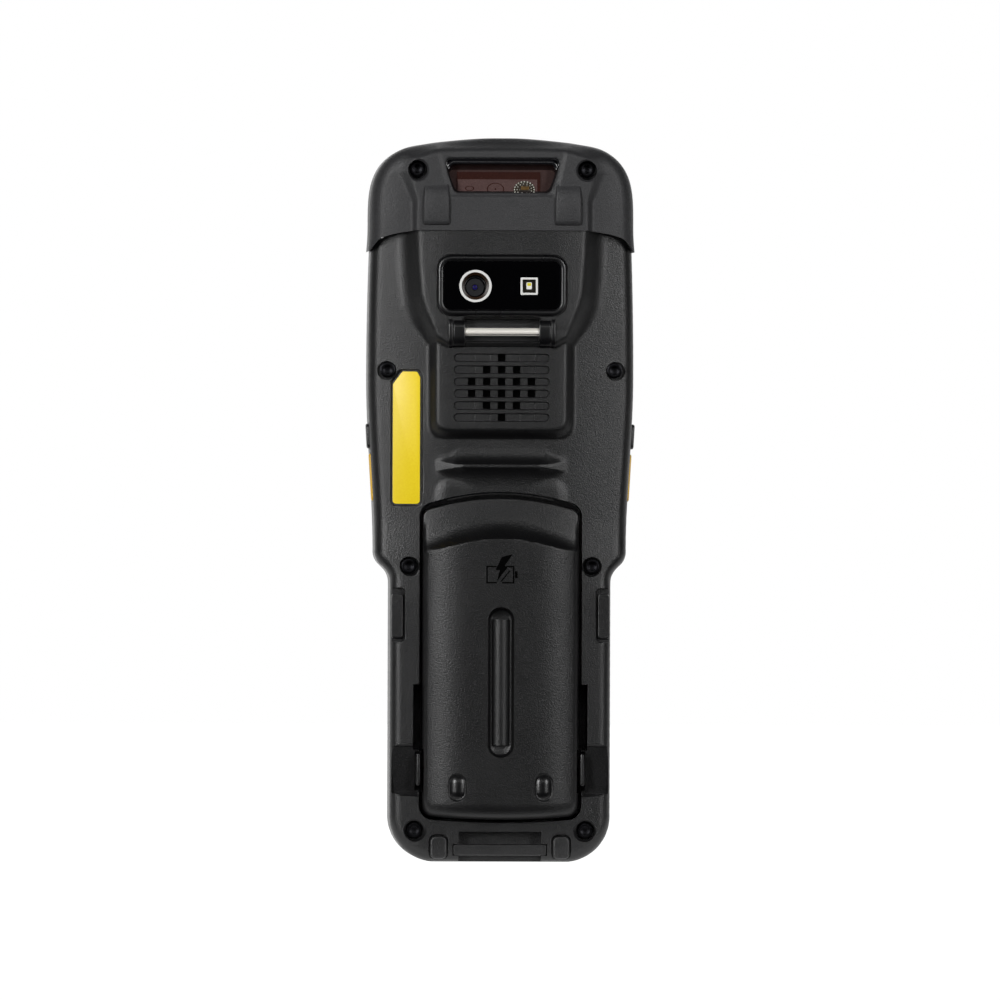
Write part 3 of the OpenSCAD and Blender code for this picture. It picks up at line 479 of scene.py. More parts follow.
def dress(piece, bodyName, nodes, materials, angle=32, bevel=0.0, segments=2, weighted=False):
    # shading, finish and the body that carries the piece
    if piece.data.materials:
        piece.data.materials.clear()
    for material in (materials if isinstance(materials, list) else [materials]):
        piece.data.materials.append(material)
    for face in piece.data.polygons:
        face.use_smooth = True
    piece.data.set_sharp_from_angle(angle=math.radians(angle))
    if bevel:
        modifier = piece.modifiers.new("edges", "BEVEL")
        modifier.width = bevel * mm
        modifier.segments = segments
        modifier.limit_method = "ANGLE"
        modifier.angle_limit = math.radians(angle)
        modifier.harden_normals = True
    if weighted:
        # flat faces stay flat beside their rounded rims
        modifier = piece.modifiers.new("normals", "WEIGHTED_NORMAL")
        modifier.keep_sharp = True
    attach(piece, bodyName)
    if nodes:
        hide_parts(*nodes)
        finished.extend(nodes)
    return piece


def refinish(node, material):
    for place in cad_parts[node].material_slots:
        place.material = material
    finished.append(node)


# ---- camera, floor and light, first of all

bpy.context.scene.view_settings.view_transform = "Standard"
view = {"azimuth": -2.0, "height": 107.0, "frame": 296.4, "lens": 800.0, "roll": 0.2, "across": 0.25,
        "sensor": 36.0, "planeY": 2.5}
cameraData = bpy.data.cameras.new("studioCamera")
cameraData.lens = view["lens"]
cameraData.sensor_width = view["sensor"]
cameraData.clip_end = 50
camera = bpy.data.objects.new("studioCamera", cameraData)
bpy.context.scene.collection.objects.link(camera)
bpy.context.scene.camera = camera
away = view["frame"] * view["lens"] / view["sensor"] * mm
turnZ = math.radians(view["azimuth"])
camera.location = (away * math.sin(turnZ), view["planeY"] * mm - away * math.cos(turnZ), view["height"] * mm)
camera.location.x += view["across"] * mm
# the camera is rolled by a fifth of a degree
camera.rotation_euler = (Matrix.Rotation(turnZ, 3, "Z") @ Matrix.Rotation(math.pi / 2, 3, "X")
                         @ Matrix.Rotation(math.radians(view["roll"]), 3, "Z")).to_euler()

# boxes of light: (name, turn from the camera's side, tilt, size in metres, power, distance in metres)
softboxes = [("softboxLeft", -36.0, 13.0, (0.24, 0.7), 12.5, 1.4),
             ("softboxRight", 36.0, 13.0, (0.24, 0.7), 12.5 * 0.62, 1.4),
             ("softboxTop", 0, 20.0, (0.5, 0.16), 0.72, 1.4),
             ("softboxBack", 180, 30, (1.4, 1.4), 6.0, 1.6)]
aimZ = 0.11


def softbox(name, turn, tilt, size, power, distance):
    data = bpy.data.lights.new(name, "AREA")
    data.shape = "RECTANGLE"
    data.size, data.size_y = size
    data.energy = power
    lamp = bpy.data.objects.new(name, data)
    bpy.context.scene.collection.objects.link(lamp)
    a, e = math.radians(turn), math.radians(tilt)
    out = Vector((math.sin(a) * math.cos(e), -math.cos(a) * math.cos(e), math.sin(e)))
    lamp.location = Vector((0, 0, aimZ)) + out * distance
    lamp.rotation_mode = "QUATERNION"
    lamp.rotation_quaternion = out.to_track_quat("Z", "Y")
    lamp.visible_camera = False


for lamp in softboxes:
    softbox(*lamp)


def seenDirectly(tree):
    # 1 for rays that show the backdrop: to the camera, in a reflection or through glass
    path = addNode(tree, "LightPath")
    either = addNode(tree, "Math", {"operation": "MAXIMUM"})
    tree.links.new(path.outputs["Is Camera Ray"], either.inputs[0])
    tree.links.new(path.outputs["Is Glossy Ray"], either.inputs[1])
    seen = addNode(tree, "Math", {"operation": "MAXIMUM"})
    tree.links.new(either.outputs[0], seen.inputs[0])
    tree.links.new(path.outputs["Is Transmission Ray"], seen.inputs[1])
    return seen


world = bpy.data.worlds.new("paleStudio")
bpy.context.scene.world = world
world.use_nodes = True
worldTree = world.node_tree
worldTree.nodes.clear()
backdropSeen = seenDirectly(worldTree)
worldLight = ramp(worldTree, backdropSeen, 0, 0.35, 1.0)
worldShade = addNode(worldTree, "Background", {"Color": (1, 1, 1, 1)}, {"Strength": (worldLight, "Result")})
addNode(worldTree, "OutputWorld", links={"Surface": (worldShade, 0)})

floorPaint, floorTree = newMaterial("paleFloorPaint")
floorSeen = seenDirectly(floorTree)
floorPlace = addNode(floorTree, "TexCoord")
floorCloud = addNode(floorTree, "TexNoise", {"Scale": 3.0}, {"Vector": (floorPlace, "Object")})
floorTone = addNode(floorTree, "ValToRGB", links={"Fac": (floorCloud, "Fac")})
floorTone.color_ramp.elements[0].color = toLinear("#efefee")
floorTone.color_ramp.elements[1].color = toLinear("#f3f3f2")
floorDull = addNode(floorTree, "BsdfDiffuse", links={"Color": (floorTone, "Color")})
floorGlow = addNode(floorTree, "Emission", {"Color": (1, 1, 1, 1), "Strength": 1.2})
floorShare = ramp(floorTree, floorSeen, 0, 0.0, 0.86)
floorMix = addNode(floorTree, "MixShader", links={"Fac": (floorShare, "Result")})
floorTree.links.new(floorDull.outputs[0], floorMix.inputs[1])
floorTree.links.new(floorGlow.outputs[0], floorMix.inputs[2])
finishMaterial(floorTree, floorMix)
floorMesh = bmesh.new()
bmesh.ops.create_grid(floorMesh, x_segments=2, y_segments=2, size=4000)
floor = meshFrom(floorMesh, "studioFloor")
floor.data.materials.append(floorPaint)

flagCloth = mouldedPlastic("blackStudioCloth", "#050505", "#070707", 3.0, 0.1, 0.9, 1.0, 0.0)


def onlyReflected(piece):
    # cloth that reflections show, but not the camera, a shadow or a view through glass
    piece.data.materials.append(flagCloth)
    piece.visible_camera = False
    piece.visible_shadow = False
    piece.visible_transmission = False


# black cloth round the front and on the floor keeps black plastic black
flagMesh = bmesh.new()
bmesh.ops.create_uvsphere(flagMesh, u_segments=48, v_segments=32, radius=2300)
bmesh.ops.rotate(flagMesh, cent=(0, 0, 0), matrix=Matrix.Rotation(math.pi / 2, 3, "X"), verts=flagMesh.verts)
openBack = [f for f in flagMesh.faces if f.calc_center_median().normalized().y > math.cos(math.radians(55))]
bmesh.ops.delete(flagMesh, geom=openBack, context="FACES")
onlyReflected(meshFrom(flagMesh, "studioFlag"))
groundFlag = bmesh.new()
bmesh.ops.create_grid(groundFlag, x_segments=2, y_segments=2, size=1)
for v in groundFlag.verts:
    v.co = (v.co.x * 1500, -790 + v.co.y * 759, 0.6)
onlyReflected(meshFrom(groundFlag, "floorFlag"))
print("camera, floor and light ready")


# ---- the battery's outline, shared with its well in the rear cover

battery = {"half": 23.1, "topZ": 107.6, "arch": 3.9, "footZ": 12.5, "footArch": 1.1, "topCorner": 1.9,
           "footCorner": 2.8, "bellyY": -19.0, "bellyDrop": 4.0, "innerY": -4.5, "edge": 1.5, "topEdge": 0.45,
           "scoopY": -14.9, "scoopZ": 101.9, "scoopRadius": 8.4, "scoopTilt": 0.12, "scoopBend": 42.0,
           "endRoll": 4.6, "endDrop": 2.6, "grooveZ": (31.1, 75.1), "grooveWidth": 7.14, "columnStep": 0.5,
           "rowCount": 236}


def cornerFall(x, grow, corner):
    # how far a rounded corner has fallen at a distance x from the middle
    past = x - (battery["half"] + grow - corner)
    return corner - math.sqrt(max(0.0, corner ** 2 - past ** 2)) if past > 0 else 0.0


def batteryTop(x, grow=0.0):
    x = min(abs(x), battery["half"] + grow)
    fall = cornerFall(x, grow, battery["topCorner"] + grow)
    return battery["topZ"] + grow - battery["arch"] * (x / battery["half"]) ** 2 - fall


def batteryFoot(x, grow=0.0):
    x = min(abs(x), battery["half"] + grow)
    fall = cornerFall(x, grow, battery["footCorner"] + grow)
    return battery["footZ"] - grow + battery["footArch"] * (x / battery["half"]) ** 2 + fall


def batteryOutline(grow, count=40):
    half = battery["half"] + grow
    places = [half * math.sin(math.pi / 2 * i / count) for i in range(-count, count + 1)]
    foot = [(x, batteryFoot(x, grow)) for x in places]
    return foot + [(x, batteryTop(x, grow)) for x in reversed(places)]


# ---- rear cover

rear = {"topZ": 188.4, "step": 0.6, "cameraRise": 4.0, "speakerRise": 2.6, "finZ": 117.2, "finHalf": 19.5,
        "finFlat": 11.4, "finRise": 2.7, "finSweep": 1.5, "finUnder": 2.1, "finFull": 0.9, "hoodZ": 113.8,
        "hoodHalf": 19.8, "hoodRise": 0.66, "hoodSoft": 3.6, "hoodCorner": 5.2, "crownFrom": 16.4,
        "crownSlope": 0.095, "crownBend": 0.0034, "gripSlope": 0.07, "gripFrom": 23.0}
length = 214.0


def hung(half):
    # an outline given as (distance from the middle, distance below the top end)
    return mirrored([(x, length - k) for x, k in half])


cameraTop = hung([(15.8, 61.0), (19.2, 58.8), (20.7, 54.8), (22.2, 50.9), (23.5, 47.0), (24.4, 36.0),
                  (25.1, 18.0)])
cameraFoot = hung([(16.4, 63.2), (21.4, 60.5), (23.9, 56.8), (26.2, 53.6), (27.9, 49.5), (29.0, 40.0),
                   (29.6, 18.0)])
speakerTop = hung([(15.6, 86.7), (17.6, 86.3), (18.8, 85.2), (19.3, 83.4), (19.4, 58.0)])
speakerFoot = hung([(16.8, 88.6), (19.2, 88.1), (20.7, 86.8), (21.3, 84.6), (21.4, 58.0)])


def softRows(low, high, step, edge=3.6, fine=((0, 0),), fineStep=0.35):
    # heights from low to high, packed closely near low and in the fine bands
    rows = [low + edge * (1 - math.cos(math.pi / 2 * i / 9)) for i in range(9)]
    z = low + edge
    while z < high:
        rows.append(z)
        z += fineStep if any(a < z < b for a, b in fine) else step
    return rows + [high]


def edgeSpread(half, step, edge=3.8, count=9):
    # places across from -1 to 1, packed closely near both ends
    rim = [edge * (1 - math.cos(math.pi / 2 * i / count)) / half for i in range(count)]
    inner = max(2, round((2 - 2 * edge / half) * half / step))
    middle = [edge / half + (2 - 2 * edge / half) * i / inner for i in range(inner + 1)]
    return [-1 + t for t in rim + middle] + [1 - t for t in reversed(rim)]


def crownDrop(x, z):
    # flat in the middle, a soft crease, then a slope that steepens towards the sides; less of it on the grip
    past = abs(x) - rear["crownFrom"]
    head = rear["crownSlope"] * (past + math.hypot(past, 1.6)) / 2
    head += rear["crownBend"] * max(0.0, past - 2) ** 2
    past = abs(x) - rear["gripFrom"]
    grip = rear["gripSlope"] * (past + math.hypot(past, 1.6)) / 2
    return grip + (head - grip) * easeStep((z - 76) / 26)


def finHeight(x, z):
    if abs(x) > rear["finHalf"] + 1 or not -19 < z - rear["finZ"] < 12:
        return 0.0
    s = z - rear["finZ"]
    # a steep sweep up to a flat crest from above; below it a hollow fall onto the collar
    reach = rear["finHalf"] - rear["finFlat"]
    blunt = easeStep((abs(x) - rear["finFlat"]) / reach)
    top, low = 0.3 + 0.9 * blunt ** 2, -0.65 - 0.95 * blunt
    # both ends of the crest are flat ramps; the sweep above it is steep, and fuller where the ramps begin
    crest = max(0.0, softMin(rear["finRise"], rear["finRise"] / reach * (rear["finHalf"] - abs(x)), 0.35))
    if s > top:
        full = easeStep((abs(x) - 11.2) / 3.2) * (1 - easeStep((abs(x) - 14.6) / 4.4))
        reachUp = 11 - 6.8 * easeStep((abs(x) - 8.5) / 7.5)
        sweep = math.exp(-(s - top) / (rear["finSweep"] + rear["finFull"] * full))
        return crest * sweep * easeStep((reachUp - s) / 3.5)
    if s > low:
        return crest
    # below it the fall runs out onto the collar in the middle and fades away at the ends
    base = min(crest, rear["hoodRise"] * (1 - easeStep((abs(x) - 8) / 7)))
    return base + (crest - base) * math.exp((s - low) / (rear["finUnder"] - 0.9 * blunt))


def hoodHeight(x, z):
    # a soft raised collar over the battery's top edge: steepest at its foot
    if abs(x) > rear["hoodHalf"] + 1 or not 98 < z < rear["hoodZ"] + 2:
        return 0.0
    left = 1 - min(1.0, max(0.0, signedDistance(x, z, hoodOutline) / rear["hoodSoft"]))
    return rear["hoodRise"] * (1 - left * left)


hoodOutline = roundRect(0, rear["hoodZ"] - 12, 2 * rear["hoodHalf"], 24, rear["hoodCorner"], 6)


def blended(a, b, k=0.3):
    # softMax lifts a meeting of two flats by a quarter of its width, so that is taken off again
    return softMax(a, b, k) - k / 4


def rearRise(x, z):
    rise = blended(finHeight(x, z), hoodHeight(x, z))
    if z > 144 and abs(x) < 31:
        rise = blended(rise, raised(x, z, cameraTop, cameraFoot, rear["cameraRise"], 0.7, 2.2))
    if 122 < z < 158 and abs(x) < 23:
        rise = blended(rise, raised(x, z, speakerTop, speakerFoot, rear["speakerRise"], 0.9, 1.0))
    return rise


fineBands = ((103.0, 113.6), (113.6, 120.0), (120.0, 125.0))
coverRows = softRows(0.0, rear["topZ"], rear["step"], fine=fineBands, fineStep=0.25)
coverColumns = edgeSpread(35.0, rear["step"])
rightEdge = [(halfWidth(z * 0.25), z * 0.25) for z in range(0, round(rear["topZ"] / 0.25) + 30)]
outlineTree = treeOf(walk([(-x, z) for x, z in reversed(rightEdge)] + rightEdge, 0.12))


def coverPlace(side, rise, crown):
    # side is -1 for the back and 1 for the front; rise is how far a spot stands proud, crown how far it falls
    flat = body["backY"] if side < 0 else body["frontY"]

    def place(column, row):
        z = coverRows[row]
        x = coverColumns[column] * halfWidth(z)
        # the outline tree has no lid at the top, where the cover runs on under the bumper
        depth = min(outlineTree.find((x, 0, z))[2], z if abs(x) < 20 else 1e9)
        fall = roundFall(body["edgeRadius"], depth)
        return Vector((x, flat - side * (fall + crown(x, z)) + side * rise(x, z), z))
    return place


def coverSurface(side, rise, crown, name):
    # each cover stops a little short of the seam
    place = coverPlace(side, rise, crown)
    return meshFrom(field(len(coverColumns) - 1, len(coverRows) - 1, place, body["seamY"] + side * 0.1), name)


rearCover = coverSurface(-1, rearRise, crownDrop, "rearCover")
print("rear cover surface:", len(rearCover.data.polygons), "faces")

screws = {"places": [(33.6, 145.4), (27.1, 87.4), (25.3, 9.3)], "seatY": -9.2, "bore": 2.85, "thread": 1.4,
          "head": 2.3, "headRise": 1.8, "shank": 1.2, "shankLength": 18.0, "socket": 1.1, "socketDepth": 0.9,
          "bumperPlace": (25.1, 204.8), "bumperSeatY": -12.0}
fittings = {"windowZ": 170.4, "bezelWidth": 38.4, "bezelHeight": 18.2, "bezelCorner": 4.0,
            "bezelFloorY": -16.4, "windowWidth": 34.4, "windowHeight": 14.2, "windowCorner": 2.35, "cameraX": -7.9, "lensZ": 170.2,
            "flashX": 7.98, "flashZ": 170.22, "strapZ": 156.65, "strapY": -16.2, "speakerZ": 140.2,
            "speakerPitch": 3.53, "slotWidth": 28.0, "slotHeight": 2.13, "holePitch": 4.42, "speakerY": -15.6,
            "speakerFloorY": -13.4, "latchX": 24.25, "latchY": -11.0, "latchZ": 26.8}


def bore(x, z, radius, openY, seatY, chamfer=0.45):
    # a counterbore that opens towards the back, with a small lead-in
    out = openY - 6
    return lathe([(0, out), (radius + chamfer + 6, out), (radius + chamfer, openY), (radius, openY + chamfer),
                  (radius, seatY), (0, seatY)], (x, 0, z), (0, 1, 0), 40)


def boreStraight(x, z, radius, y0, y1):
    return rod(radius, y0, y1, (x, 0, z), (0, 1, 0), 40)


def insetCover(inset, low, high, count=90):
    rows = [low + (high - low) * i / count for i in range(count + 1)]
    right = [(halfWidth(max(z, inset * 0.3)) - inset, z) for z in rows]
    return right + [(-x, z) for x, z in reversed(right)]


def screwHead(x, z, seatY):
    # socket head screw: filleted head, hex socket, plain shank
    socket, head, shank = screws["socket"], screws["head"], screws["shank"]
    top, tip = seatY - screws["headRise"], seatY + screws["shankLength"]
    floor, under = top + screws["socketDepth"], seatY - 0.05
    return lathe([(0, floor), (socket * 0.55, floor), (socket * 0.95, top + 0.75), (socket, top + 0.1),
                  (socket + 0.12, top), (head - 0.35, top), (head - 0.1, top + 0.1), (head, top + 0.35),
                  (head, under), (shank, under), (shank, tip - 0.4), (shank - 0.4, tip), (0, tip)],
                 (x, 0, z), (0, 1, 0), 36)


def solid(bm):
    # a body for cutting with, as an object
    return meshFrom(bm, "cutterPart")


def raisedOutline(grow, lift):
    return [(x, z + (lift if z > 90 else 0)) for x, z in batteryOutline(grow)]


def gapBand(low, high, x0, x1, count=30):
    # a strip along the arched top of the well, from low to high over its plain edge
    places = [x0 + (x1 - x0) * i / count for i in range(count + 1)]
    return ([(x, batteryTop(x, 0.95) + low) for x in places]
            + [(x, batteryTop(x, 0.95) + high) for x in reversed(places)])


# the heights of the six speaker slots
speakerRows = [fittings["speakerZ"] + (row - 2.5) * fittings["speakerPitch"] for row in range(6)]


def isHole(row, k):
    # the holes form a diamond: more of them in the middle rows
    return abs(k) <= min(row, 5 - row)


def wellTools():
    # the battery's well; over its arched top a thin lip stands in the wider gap
    outY, stepY, lipY, floorY = -30, -12.3, -6.0, -4.2
    gap, lift, lipHalf, wideHalf = 0.95, 0.85, 15.8, 24.0
    tools = [prism(raisedOutline(gap, lift), outY, stepY), prism(raisedOutline(gap, 0.12), outY, floorY),
             prism(gapBand(0.42, lift, -lipHalf, lipHalf), outY, lipY)]
    for ends in ((-wideHalf, -lipHalf), (lipHalf, wideHalf)):
        tools.append(prism(gapBand(-0.5, lift, *ends), outY, floorY))
    return tools


def gripTools(side):
    # screw bores and recesses on one side of the cover
    tools = []
    for x, z in screws["places"]:
        # the upper screws sit where the cover falls away, a little further out
        over, openY = (0.25, body["backY"] + 0.9) if z > 100 else (0.0, body["backY"] + 0.3)
        tools.append(bore(side * (x + over), z - over, screws["bore"], openY, screws["seatY"]))
        tools.append(boreStraight(side * x, z, screws["thread"], -11, 8))
    # a low step behind the latch with a sloping floor, the latch's slot, and the long opening over it
    stepZ, stepFloorY, slope = 27.15, -10.5, 0.13
    low = recess(growable(side * 28.15, stepZ, 7.9, 14.1, 0.4), -12.3, stepFloorY, 0.35)
    for v in low.verts:
        if v.co.y > stepFloorY - 0.1:
            v.co.y -= slope * (v.co.z - stepZ)
    tools += [low, sideBox(side, 23.0, 25.2, (-24, 21.0), (-8.0, 32.6)),
              sideBox(side, 23.0, 25.8, (-24, 33.0), (1.0, 52.5)),
              recess(growable(side * 30.75, 72.95, 4.7, 16.1, 1.5), -12.55, -10.9, 0.4),
              recess(growable(side * 18.15, 4.2, 5.7, 7.6, 1.9), -13.0, -12.0, 0.25)]
    # openings for the side controls, 0.3 wider than their caps
    reach = sideControls["depth"] / 2 + 0.3
    for z, span in (sideControls["key"][:2], sideControls["trigger"][:2]):
        tools.append(sideBox(side, 34, 45, (sideControls["y"] - reach, z - span / 2 - 0.3),
                             (sideControls["y"] + reach, z + span / 2 + 0.3)))
    return tools


def aboveBumperEdge(sideDrop):
    # everything that the bumper covers
    low = [(x, body["bumperZ"] - drop - 0.05) for x, drop in bumperEdge] + [(60, body["bumperZ"] - sideDrop)]
    return prism([(60, 230), (-60, 230)] + [(-x, z) for x, z in reversed(low)] + low, -40, 40)


def speakerTools():
    # each slot has a sloping rim, and some of its square spots go right through
    slotRings = ((-4, 4.5), (-0.04, 0.36), (0.06, 0.2), (0.2, 0.06), (0.45, 0), (0.8, -0.06))
    width, height, openY = fittings["slotWidth"], fittings["slotHeight"], fittings["speakerY"]
    tools = []
    for row, z in enumerate(speakerRows):
        slot = growable(0, z, width, height, 1.0, 6)
        tools.append(stack([(openY + y, slot(grow)) for y, grow in slotRings]))
        for k in range(-2, 3):
            if isHole(row, k):
                hole = roundRect(k * fittings["holePitch"], z, height + 0.1, height - 0.14, 0.05, 1)
                tools.append(prism(hole, openY + 0.7, -12.9))
    return tools


def rearHollow():
    # the cover's inside, less what stands in it: the well's walls, the screw bosses and the recesses' backs
    backY = -14
    hollow = solid(prism(insetCover(body["wall"], body["wall"], 200), -8.4, body["seamY"] + 3))
    carve(hollow, [box((-22, -11, 109), (22, -8, 200))], "UNION")
    keep = [prism(batteryOutline(2.3), backY, -2.7), box((-16, backY, -2), (16, -6.5, 10.9)),
            box((-17.5, backY, 149), (17.5, -10.2, 162))]
    for side in (-1, 1):
        keep += [boreStraight(side * x, z, 3.7, backY, body["seamY"] + 5) for x, z in screws["places"]]
        keep += [sideBox(side, 22, 33, (backY, 17.6), (-6.0, 35.0)),
                 sideBox(side, 22, 28.0, (backY, 31.0), (2.0, 54.5)),
                 sideBox(side, 26.3, 33, (backY, 62), (-9.4, 83))]
    return carve(hollow, keep)


def rearTools():
    f = fittings
    tools = wellTools()
    for side in (-1, 1):
        tools += gripTools(side)
    # the dock end's hollows behind the lower bar, and the trough and the hole for the strap bar
    tools += [box((-12.2, -24, -3), (12.2, -8.5, 8.9)), box((-14.0, -24, 1.8), (14.0, -11.0, 5.3)),
              recess(growable(0, 157.2, 22.4, 6.4, 0.6), -16.9, -12.9, 0.7),
              rod(1.4, -13.9, 13.9, (0, f["strapY"], f["strapZ"]), (1, 0, 0)), labelPocket()]
    # seats for the camera's bezel, the camera and the lamp
    bezelSeat = roundRect(0, f["windowZ"], f["bezelWidth"] + 0.3, f["bezelHeight"] + 0.3, f["bezelCorner"] + 0.1)
    tools += [prism(bezelSeat, -24, f["bezelFloorY"]), box((-15, -14.8, 163), (15, -10, 178)),
              boreStraight(f["cameraX"], f["windowZ"], 4.6, -18, -10),
              prism(roundRect(f["flashX"], f["windowZ"], 5.8, 5.8, 0.4), -18, -10)]
    tools += speakerTools()
    tools += [box((-15, f["speakerFloorY"], 128.9), (15, -10, 151.5)), aboveBumperEdge(5.6)]
    return tools + [rearHollow()]


def labelShape(grow):
    # a tall label with its upper outer corner cut off beside the screw
    corners = [(-32.0, 105.8, 1.0), (-24.0, 105.8, 1.0), (-24.0, 143.2, 0.8), (-24.9, 144.9, 0.8),
               (-29.2, 144.9, 0.8), (-32.0, 141.2, 1.2)]
    middleX, middleZ = -28, 125
    grown = []
    for x, z, r in corners:
        outX = grow if x > middleX else -grow
        outZ = grow if z > middleZ else -grow
        grown.append((x + outX, z + outZ, r + grow * 0.6))
    return roundedPolygon(grown)


def onCrown(bm, fromY=-10):
    # carries what lies behind fromY onto the cover's back
    for v in bm.verts:
        if v.co.y > fromY:
            v.co.y += body["backY"] + crownDrop(v.co.x, v.co.z)
    return bm


def labelPocket():
    # follows the crown of the cover, half a millimetre under it
    return onCrown(stack([(-20.0, labelShape(4.8)), (-0.05, labelShape(0.75)), (0.22, labelShape(0.45)),
                          (0.5, labelShape(0.45))]))


def roundedPolygon(corners, count=5):
    # corners: (x, z, radius), listed anticlockwise
    found = []
    places = [Vector((x, z)) for x, z, r in corners]
    for i, (x, z, r) in enumerate(corners):
        before = (places[i - 1] - places[i]).normalized()
        after = (places[(i + 1) % len(places)] - places[i]).normalized()
        half = before.angle(after) / 2
        reach = r / math.tan(half)
        centre = Vector((x, z)) + (before + after).normalized() * (r / math.sin(half))
        start = Vector((x, z)) + before * reach - centre
        end = Vector((x, z)) + after * reach - centre
        turn = start.angle_signed(end)
        for step in range(count + 1):
            spot = start.copy()
            spot.rotate(Matrix.Rotation(-turn * step / count, 2))
            found.append((centre.x + spot.x, centre.y + spot.y))
    return found


def roundedPair(half):
    # half: the right-hand corners as (x, z, radius), listed upwards; the left-hand ones mirror them
    left = [(-x, z, r) for x, z, r in half]
    return roundedPolygon(left[:1] + half + left[:0:-1])


# keys and triggers on the sides: (z, length, how far proud)
sideControls = {"y": -3.0, "depth": 5.4, "key": (125.8, 7.4, 0.94), "trigger": (113.6, 14.0, 0.5)}
carve(rearCover, rearTools())
dress(rearCover, "housing", ["rear_cover"], casePlastic, angle=40, weighted=True)
print("rear cover carved:", len(rearCover.data.polygons), "faces")


# ---- battery

batteryColumns = edgeSpread(battery["half"], battery["columnStep"], 2.2, 7)
batteryTree = treeOf(walk(batteryOutline(0, 120), 0.1))
# two rests in bowls; their rings are given as (grow, depth under the belly)
dimple = {"x": 12.85, "z": 22.0, "bowl": (5.5, 8.1), "dome": (4.6, 6.9),
          "bowlRings": [(4.2, -4), (0.5, -0.16), (0.32, -0.06), (0.14, 0.03), (0, 0.13), (-0.2, 0.35),
                        (-0.4, 0.45)],
          "domeRings": [(0, 0.9), (0, 0.46), (-0.2, 0.325), (-0.45, 0.18), (-0.75, 0.04), (-1.1, -0.086),
                        (-1.5, -0.19), (-1.9, -0.25), (-2.2, -0.27)]}


def bellyAt(x, z):
    u = x / battery["half"]
    belly = battery["bellyY"] + battery["bellyDrop"] * u ** 4
    # the scooped rest follows the arch of the top edge
    s = z + x * x / (2 * battery["scoopBend"]) - battery["scoopZ"]
    floor = battery["scoopY"] + 0.9 * u ** 4
    if s > 0:
        scoop = floor + battery["scoopTilt"] * s
    else:
        # below its flat floor the rest curls up to the belly
        radius = battery["scoopRadius"]
        start = radius * math.sin(math.atan(battery["scoopTilt"]))
        span = radius ** 2 - (start - s) ** 2
        scoop = floor - math.sqrt(radius ** 2 - start ** 2) + math.sqrt(span) if span > 0 else -99
    y = softMax(belly, scoop, 0.3)
    low = max(0.0, 1 - (z - batteryFoot(x)) / battery["endRoll"])
    y += battery["endDrop"] * (1 - math.sqrt(max(0.0, 1 - low * low)))
    return y


def batteryPlace(column, row):
    x = batteryColumns[column] * battery["half"]
    low, high = batteryFoot(x), batteryTop(x)
    # the rows are packed closely near both ends
    rim, rimRows, rows = 1.8, 7, battery["rowCount"]
    if row < rimRows:
        z = low + rim * (1 - math.cos(math.pi / 2 * row / rimRows))
    elif row > rows - rimRows:
        z = high - rim * (1 - math.cos(math.pi / 2 * (rows - row) / rimRows))
    else:
        z = low + rim + (high - low - 2 * rim) * (row - rimRows) / (rows - 2 * rimRows)
    depth = batteryTree.find((x, 0, z))[2]
    # the rounded rim is tighter along the thumb rest
    radius = battery["edge"] + (battery["topEdge"] - battery["edge"]) * easeStep((z - high + 5) / 4)
    return Vector((x, bellyAt(x, z) + roundFall(radius, depth), z))


batteryBelly = field(len(batteryColumns) - 1, battery["rowCount"], batteryPlace, battery["innerY"])
batteryCase = meshFrom(batteryBelly, "batteryCase")


def chargeMark(high, deep):
    # a battery outline with a bolt across it, sunk a third of a millimetre
    x, z, w, h, line = 0.0, 84.95, 7.7, 5.2, 0.42
    top = bellyAt(0, z)
    marks = []
    left = -w / 2 - 0.6
    for low, far in (((left, -h / 2), (left + line, h / 2)), ((w / 2 - line, -h / 2), (w / 2, h / 2)),
                     ((left, -h / 2), (-1.3, -h / 2 + line)), ((0.2, -h / 2), (w / 2, -h / 2 + line)),
                     ((left, h / 2 - line), (-1.4, h / 2)), ((1.5, h / 2 - line), (w / 2, h / 2)),
                     ((w / 2 + 0.15, -1.0), (w / 2 + 0.95, 1.0))):
        marks.append(box((x + low[0], top + high, z + low[1]), (x + far[0], top + deep, z + far[1])))
    bolt = [(3.4, 6.1), (0.1, 5.2), (-1.75, 1.4), (-0.45, 1.3), (-1.3, -2.0), (1.8, 2.1), (1.0, 2.7)]
    marks.append(prism([(x + a, z + b) for a, b in bolt], top + high, top + deep))
    stroke = [(2.3, 1.2), (-0.35, -2.1), (0.15, -2.1), (2.75, 1.1)]
    marks.append(prism([(x + a, z + b) for a, b in stroke], top + high, top + deep))
    return marks


def grooveTool():
    low, high = battery["grooveZ"]
    middle = (low + high) / 2
    stadium = growable(0, middle, battery["grooveWidth"], high - low, 3.5, 14)
    rings = ((-24, 4), (-19.1, 0.4), (-18.75, 0.08), (-18.4, -0.08), (-17.3, -0.45), (-16.95, -1.0))
    groove = solid(stack([(y, stadium(grow)) for y, grow in rings]))
    # the floor carries a long rounded rib
    return carve(groove, [rod(3.2, -18.6, 18.6, (0, -15.15, middle), (0, 0, 1), 48)])


def dimplePart(side, size, rings):
    # a long oval of stacked outlines, given as (grow, depth), set square to the belly
    wide, tall = size
    bm = stack([(y, roundRect(0, 0, wide + 2 * g, tall + 2 * g, wide / 2 + g - 0.02, 9)) for g, y in rings])
    x = side * dimple["x"]
    slope = math.atan2(bellyAt(abs(x) + 0.5, dimple["z"]) - bellyAt(abs(x) - 0.5, dimple["z"]), 1.0)
    bmesh.ops.rotate(bm, cent=(0, 0, 0), matrix=Matrix.Rotation(side * slope, 3, "Z"), verts=bm.verts)
    bmesh.ops.translate(bm, vec=(x, bellyAt(x, dimple["z"]), dimple["z"]), verts=bm.verts)
    return bm


